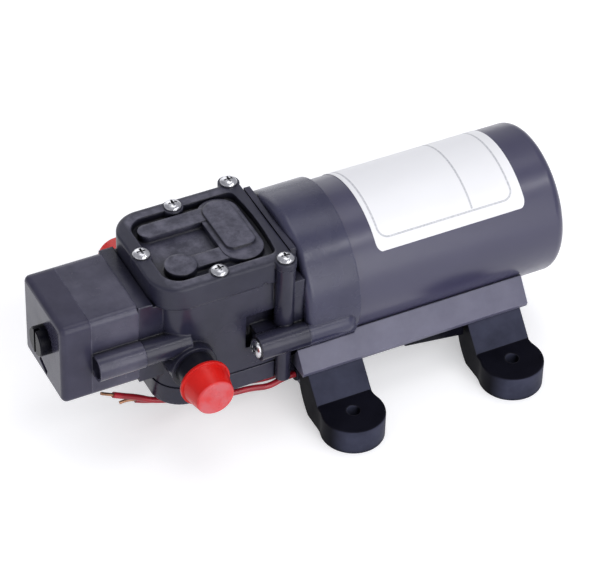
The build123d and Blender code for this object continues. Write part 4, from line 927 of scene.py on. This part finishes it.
def makeLead(name):
    lead = leads[name]
    start = leadExit + Vector((0, lead["offset"], 0))
    data = bpy.data.curves.new(name, "CURVE")
    data.dimensions = "3D"
    data.bevel_depth = leadDiameter / 2
    data.bevel_resolution = leadRound
    data.resolution_u = leadSteps
    data.use_fill_caps = True
    spline = data.splines.new("NURBS")
    spline.points.add(len(lead["route"]) - 1)
    for point, step in zip(spline.points, lead["route"]):
        point.co = (*(start + Vector(step) * mm), 1)
    spline.order_u = 3
    spline.use_endpoint_u = True
    piece = bpy.data.objects.new(name, data)
    bpy.context.collection.objects.link(piece)
    data.materials.append(materials["leadSleeve"])
    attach(piece, "pump")
    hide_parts(lead["node"])


for leadName in leads:
    makeLead(leadName)
print("leads laid:", len(leads))


# Floor, lamps and world

stageLook = {
    "floor": (0.80, 0.80, 0.81),
    "shade": 0.98,
    "cloudScale": 6,
    "glow": 0.42,
    "rough": 0.7,
    "size": 8.0,
}
pumpMiddle = (0, 0, 0.03)
lamps = {
    "nearSoftbox": {
        "place": (0.15, -1.7, 0.55),
        "aim": pumpMiddle,
        "wide": 1.3,
        "tall": 1.3,
        "power": 17,
    },
    "overhead": {
        "place": (0.25, 0.15, 1.7),
        "aim": (0, 0, 0),
        "wide": 1.0,
        "tall": 1.0,
        "power": 5.5,
    },
    "endSide": {
        "place": (-1.5, -0.3, 0.45),
        "aim": pumpMiddle,
        "wide": 0.8,
        "tall": 0.8,
        "power": 2,
    },
    "farFill": {
        "place": (0.1, 1.6, 0.7),
        "aim": pumpMiddle,
        "wide": 1.2,
        "tall": 1.2,
        "power": 6,
    },
    "strip": {
        "place": (0.45, -0.75, 1.0),
        "aim": pumpMiddle,
        "wide": 1.1,
        "tall": 0.07,
        "power": 3.4,
    },
}


def makeFloor():
    bpy.ops.object.select_all(action="DESELECT")
    bpy.ops.mesh.primitive_plane_add(size=stageLook["size"])
    floor = bpy.context.object
    floor.name = "floor"
    material, tree, shader, coords = newMaterial("floorPaper")
    shaded = tuple(channel * stageLook["shade"] for channel in stageLook["floor"])
    cloud = noise(tree, coords, stageLook["cloudScale"], 3)
    colour = ramp(tree, cloud, noiseMiddle, (stageLook["floor"], shaded))
    link(tree, colour, shader.inputs["Base Color"])
    shader.inputs["Roughness"].default_value = stageLook["rough"]
    # The camera and reflections see the paper as white, with the shadow on it
    path = tree.nodes.new("ShaderNodeLightPath")
    seen = calc(tree, "MAXIMUM", path.outputs["Is Camera Ray"], path.outputs["Is Glossy Ray"])
    seen = calc(tree, "MAXIMUM", seen, path.outputs["Is Transmission Ray"])
    glow = calc(tree, "MULTIPLY", seen, stageLook["glow"])
    shader.inputs["Emission Color"].default_value = (1, 1, 1, 1)
    link(tree, glow, shader.inputs["Emission Strength"])
    floor.data.materials.append(material)


def makeLamps():
    for name, lamp in lamps.items():
        data = bpy.data.lights.new(name, "AREA")
        data.shape = "RECTANGLE"
        data.size = lamp["wide"]
        data.size_y = lamp["tall"]
        data.energy = lamp["power"]
        lampObject = bpy.data.objects.new(name, data)
        lampObject.location = lamp["place"]
        aim = Vector(lamp["aim"]) - Vector(lamp["place"])
        lampObject.rotation_euler = aim.to_track_quat("-Z", "Y").to_euler()
        bpy.context.collection.objects.link(lampObject)


# The floor fills the camera's view, so the world only gives a soft overall light
worldLook = {"colour": (0.92, 0.93, 1.0), "strength": 0.48}


def makeWorld():
    world = bpy.data.worlds.new("paleStudio")
    bpy.context.scene.world = world
    world.use_nodes = True
    background = world.node_tree.nodes["Background"]
    background.inputs["Color"].default_value = (*worldLook["colour"], 1)
    background.inputs["Strength"].default_value = worldLook["strength"]


makeFloor()
makeLamps()
makeWorld()
bpy.context.scene.view_settings.view_transform = "Standard"
print("stage lit")
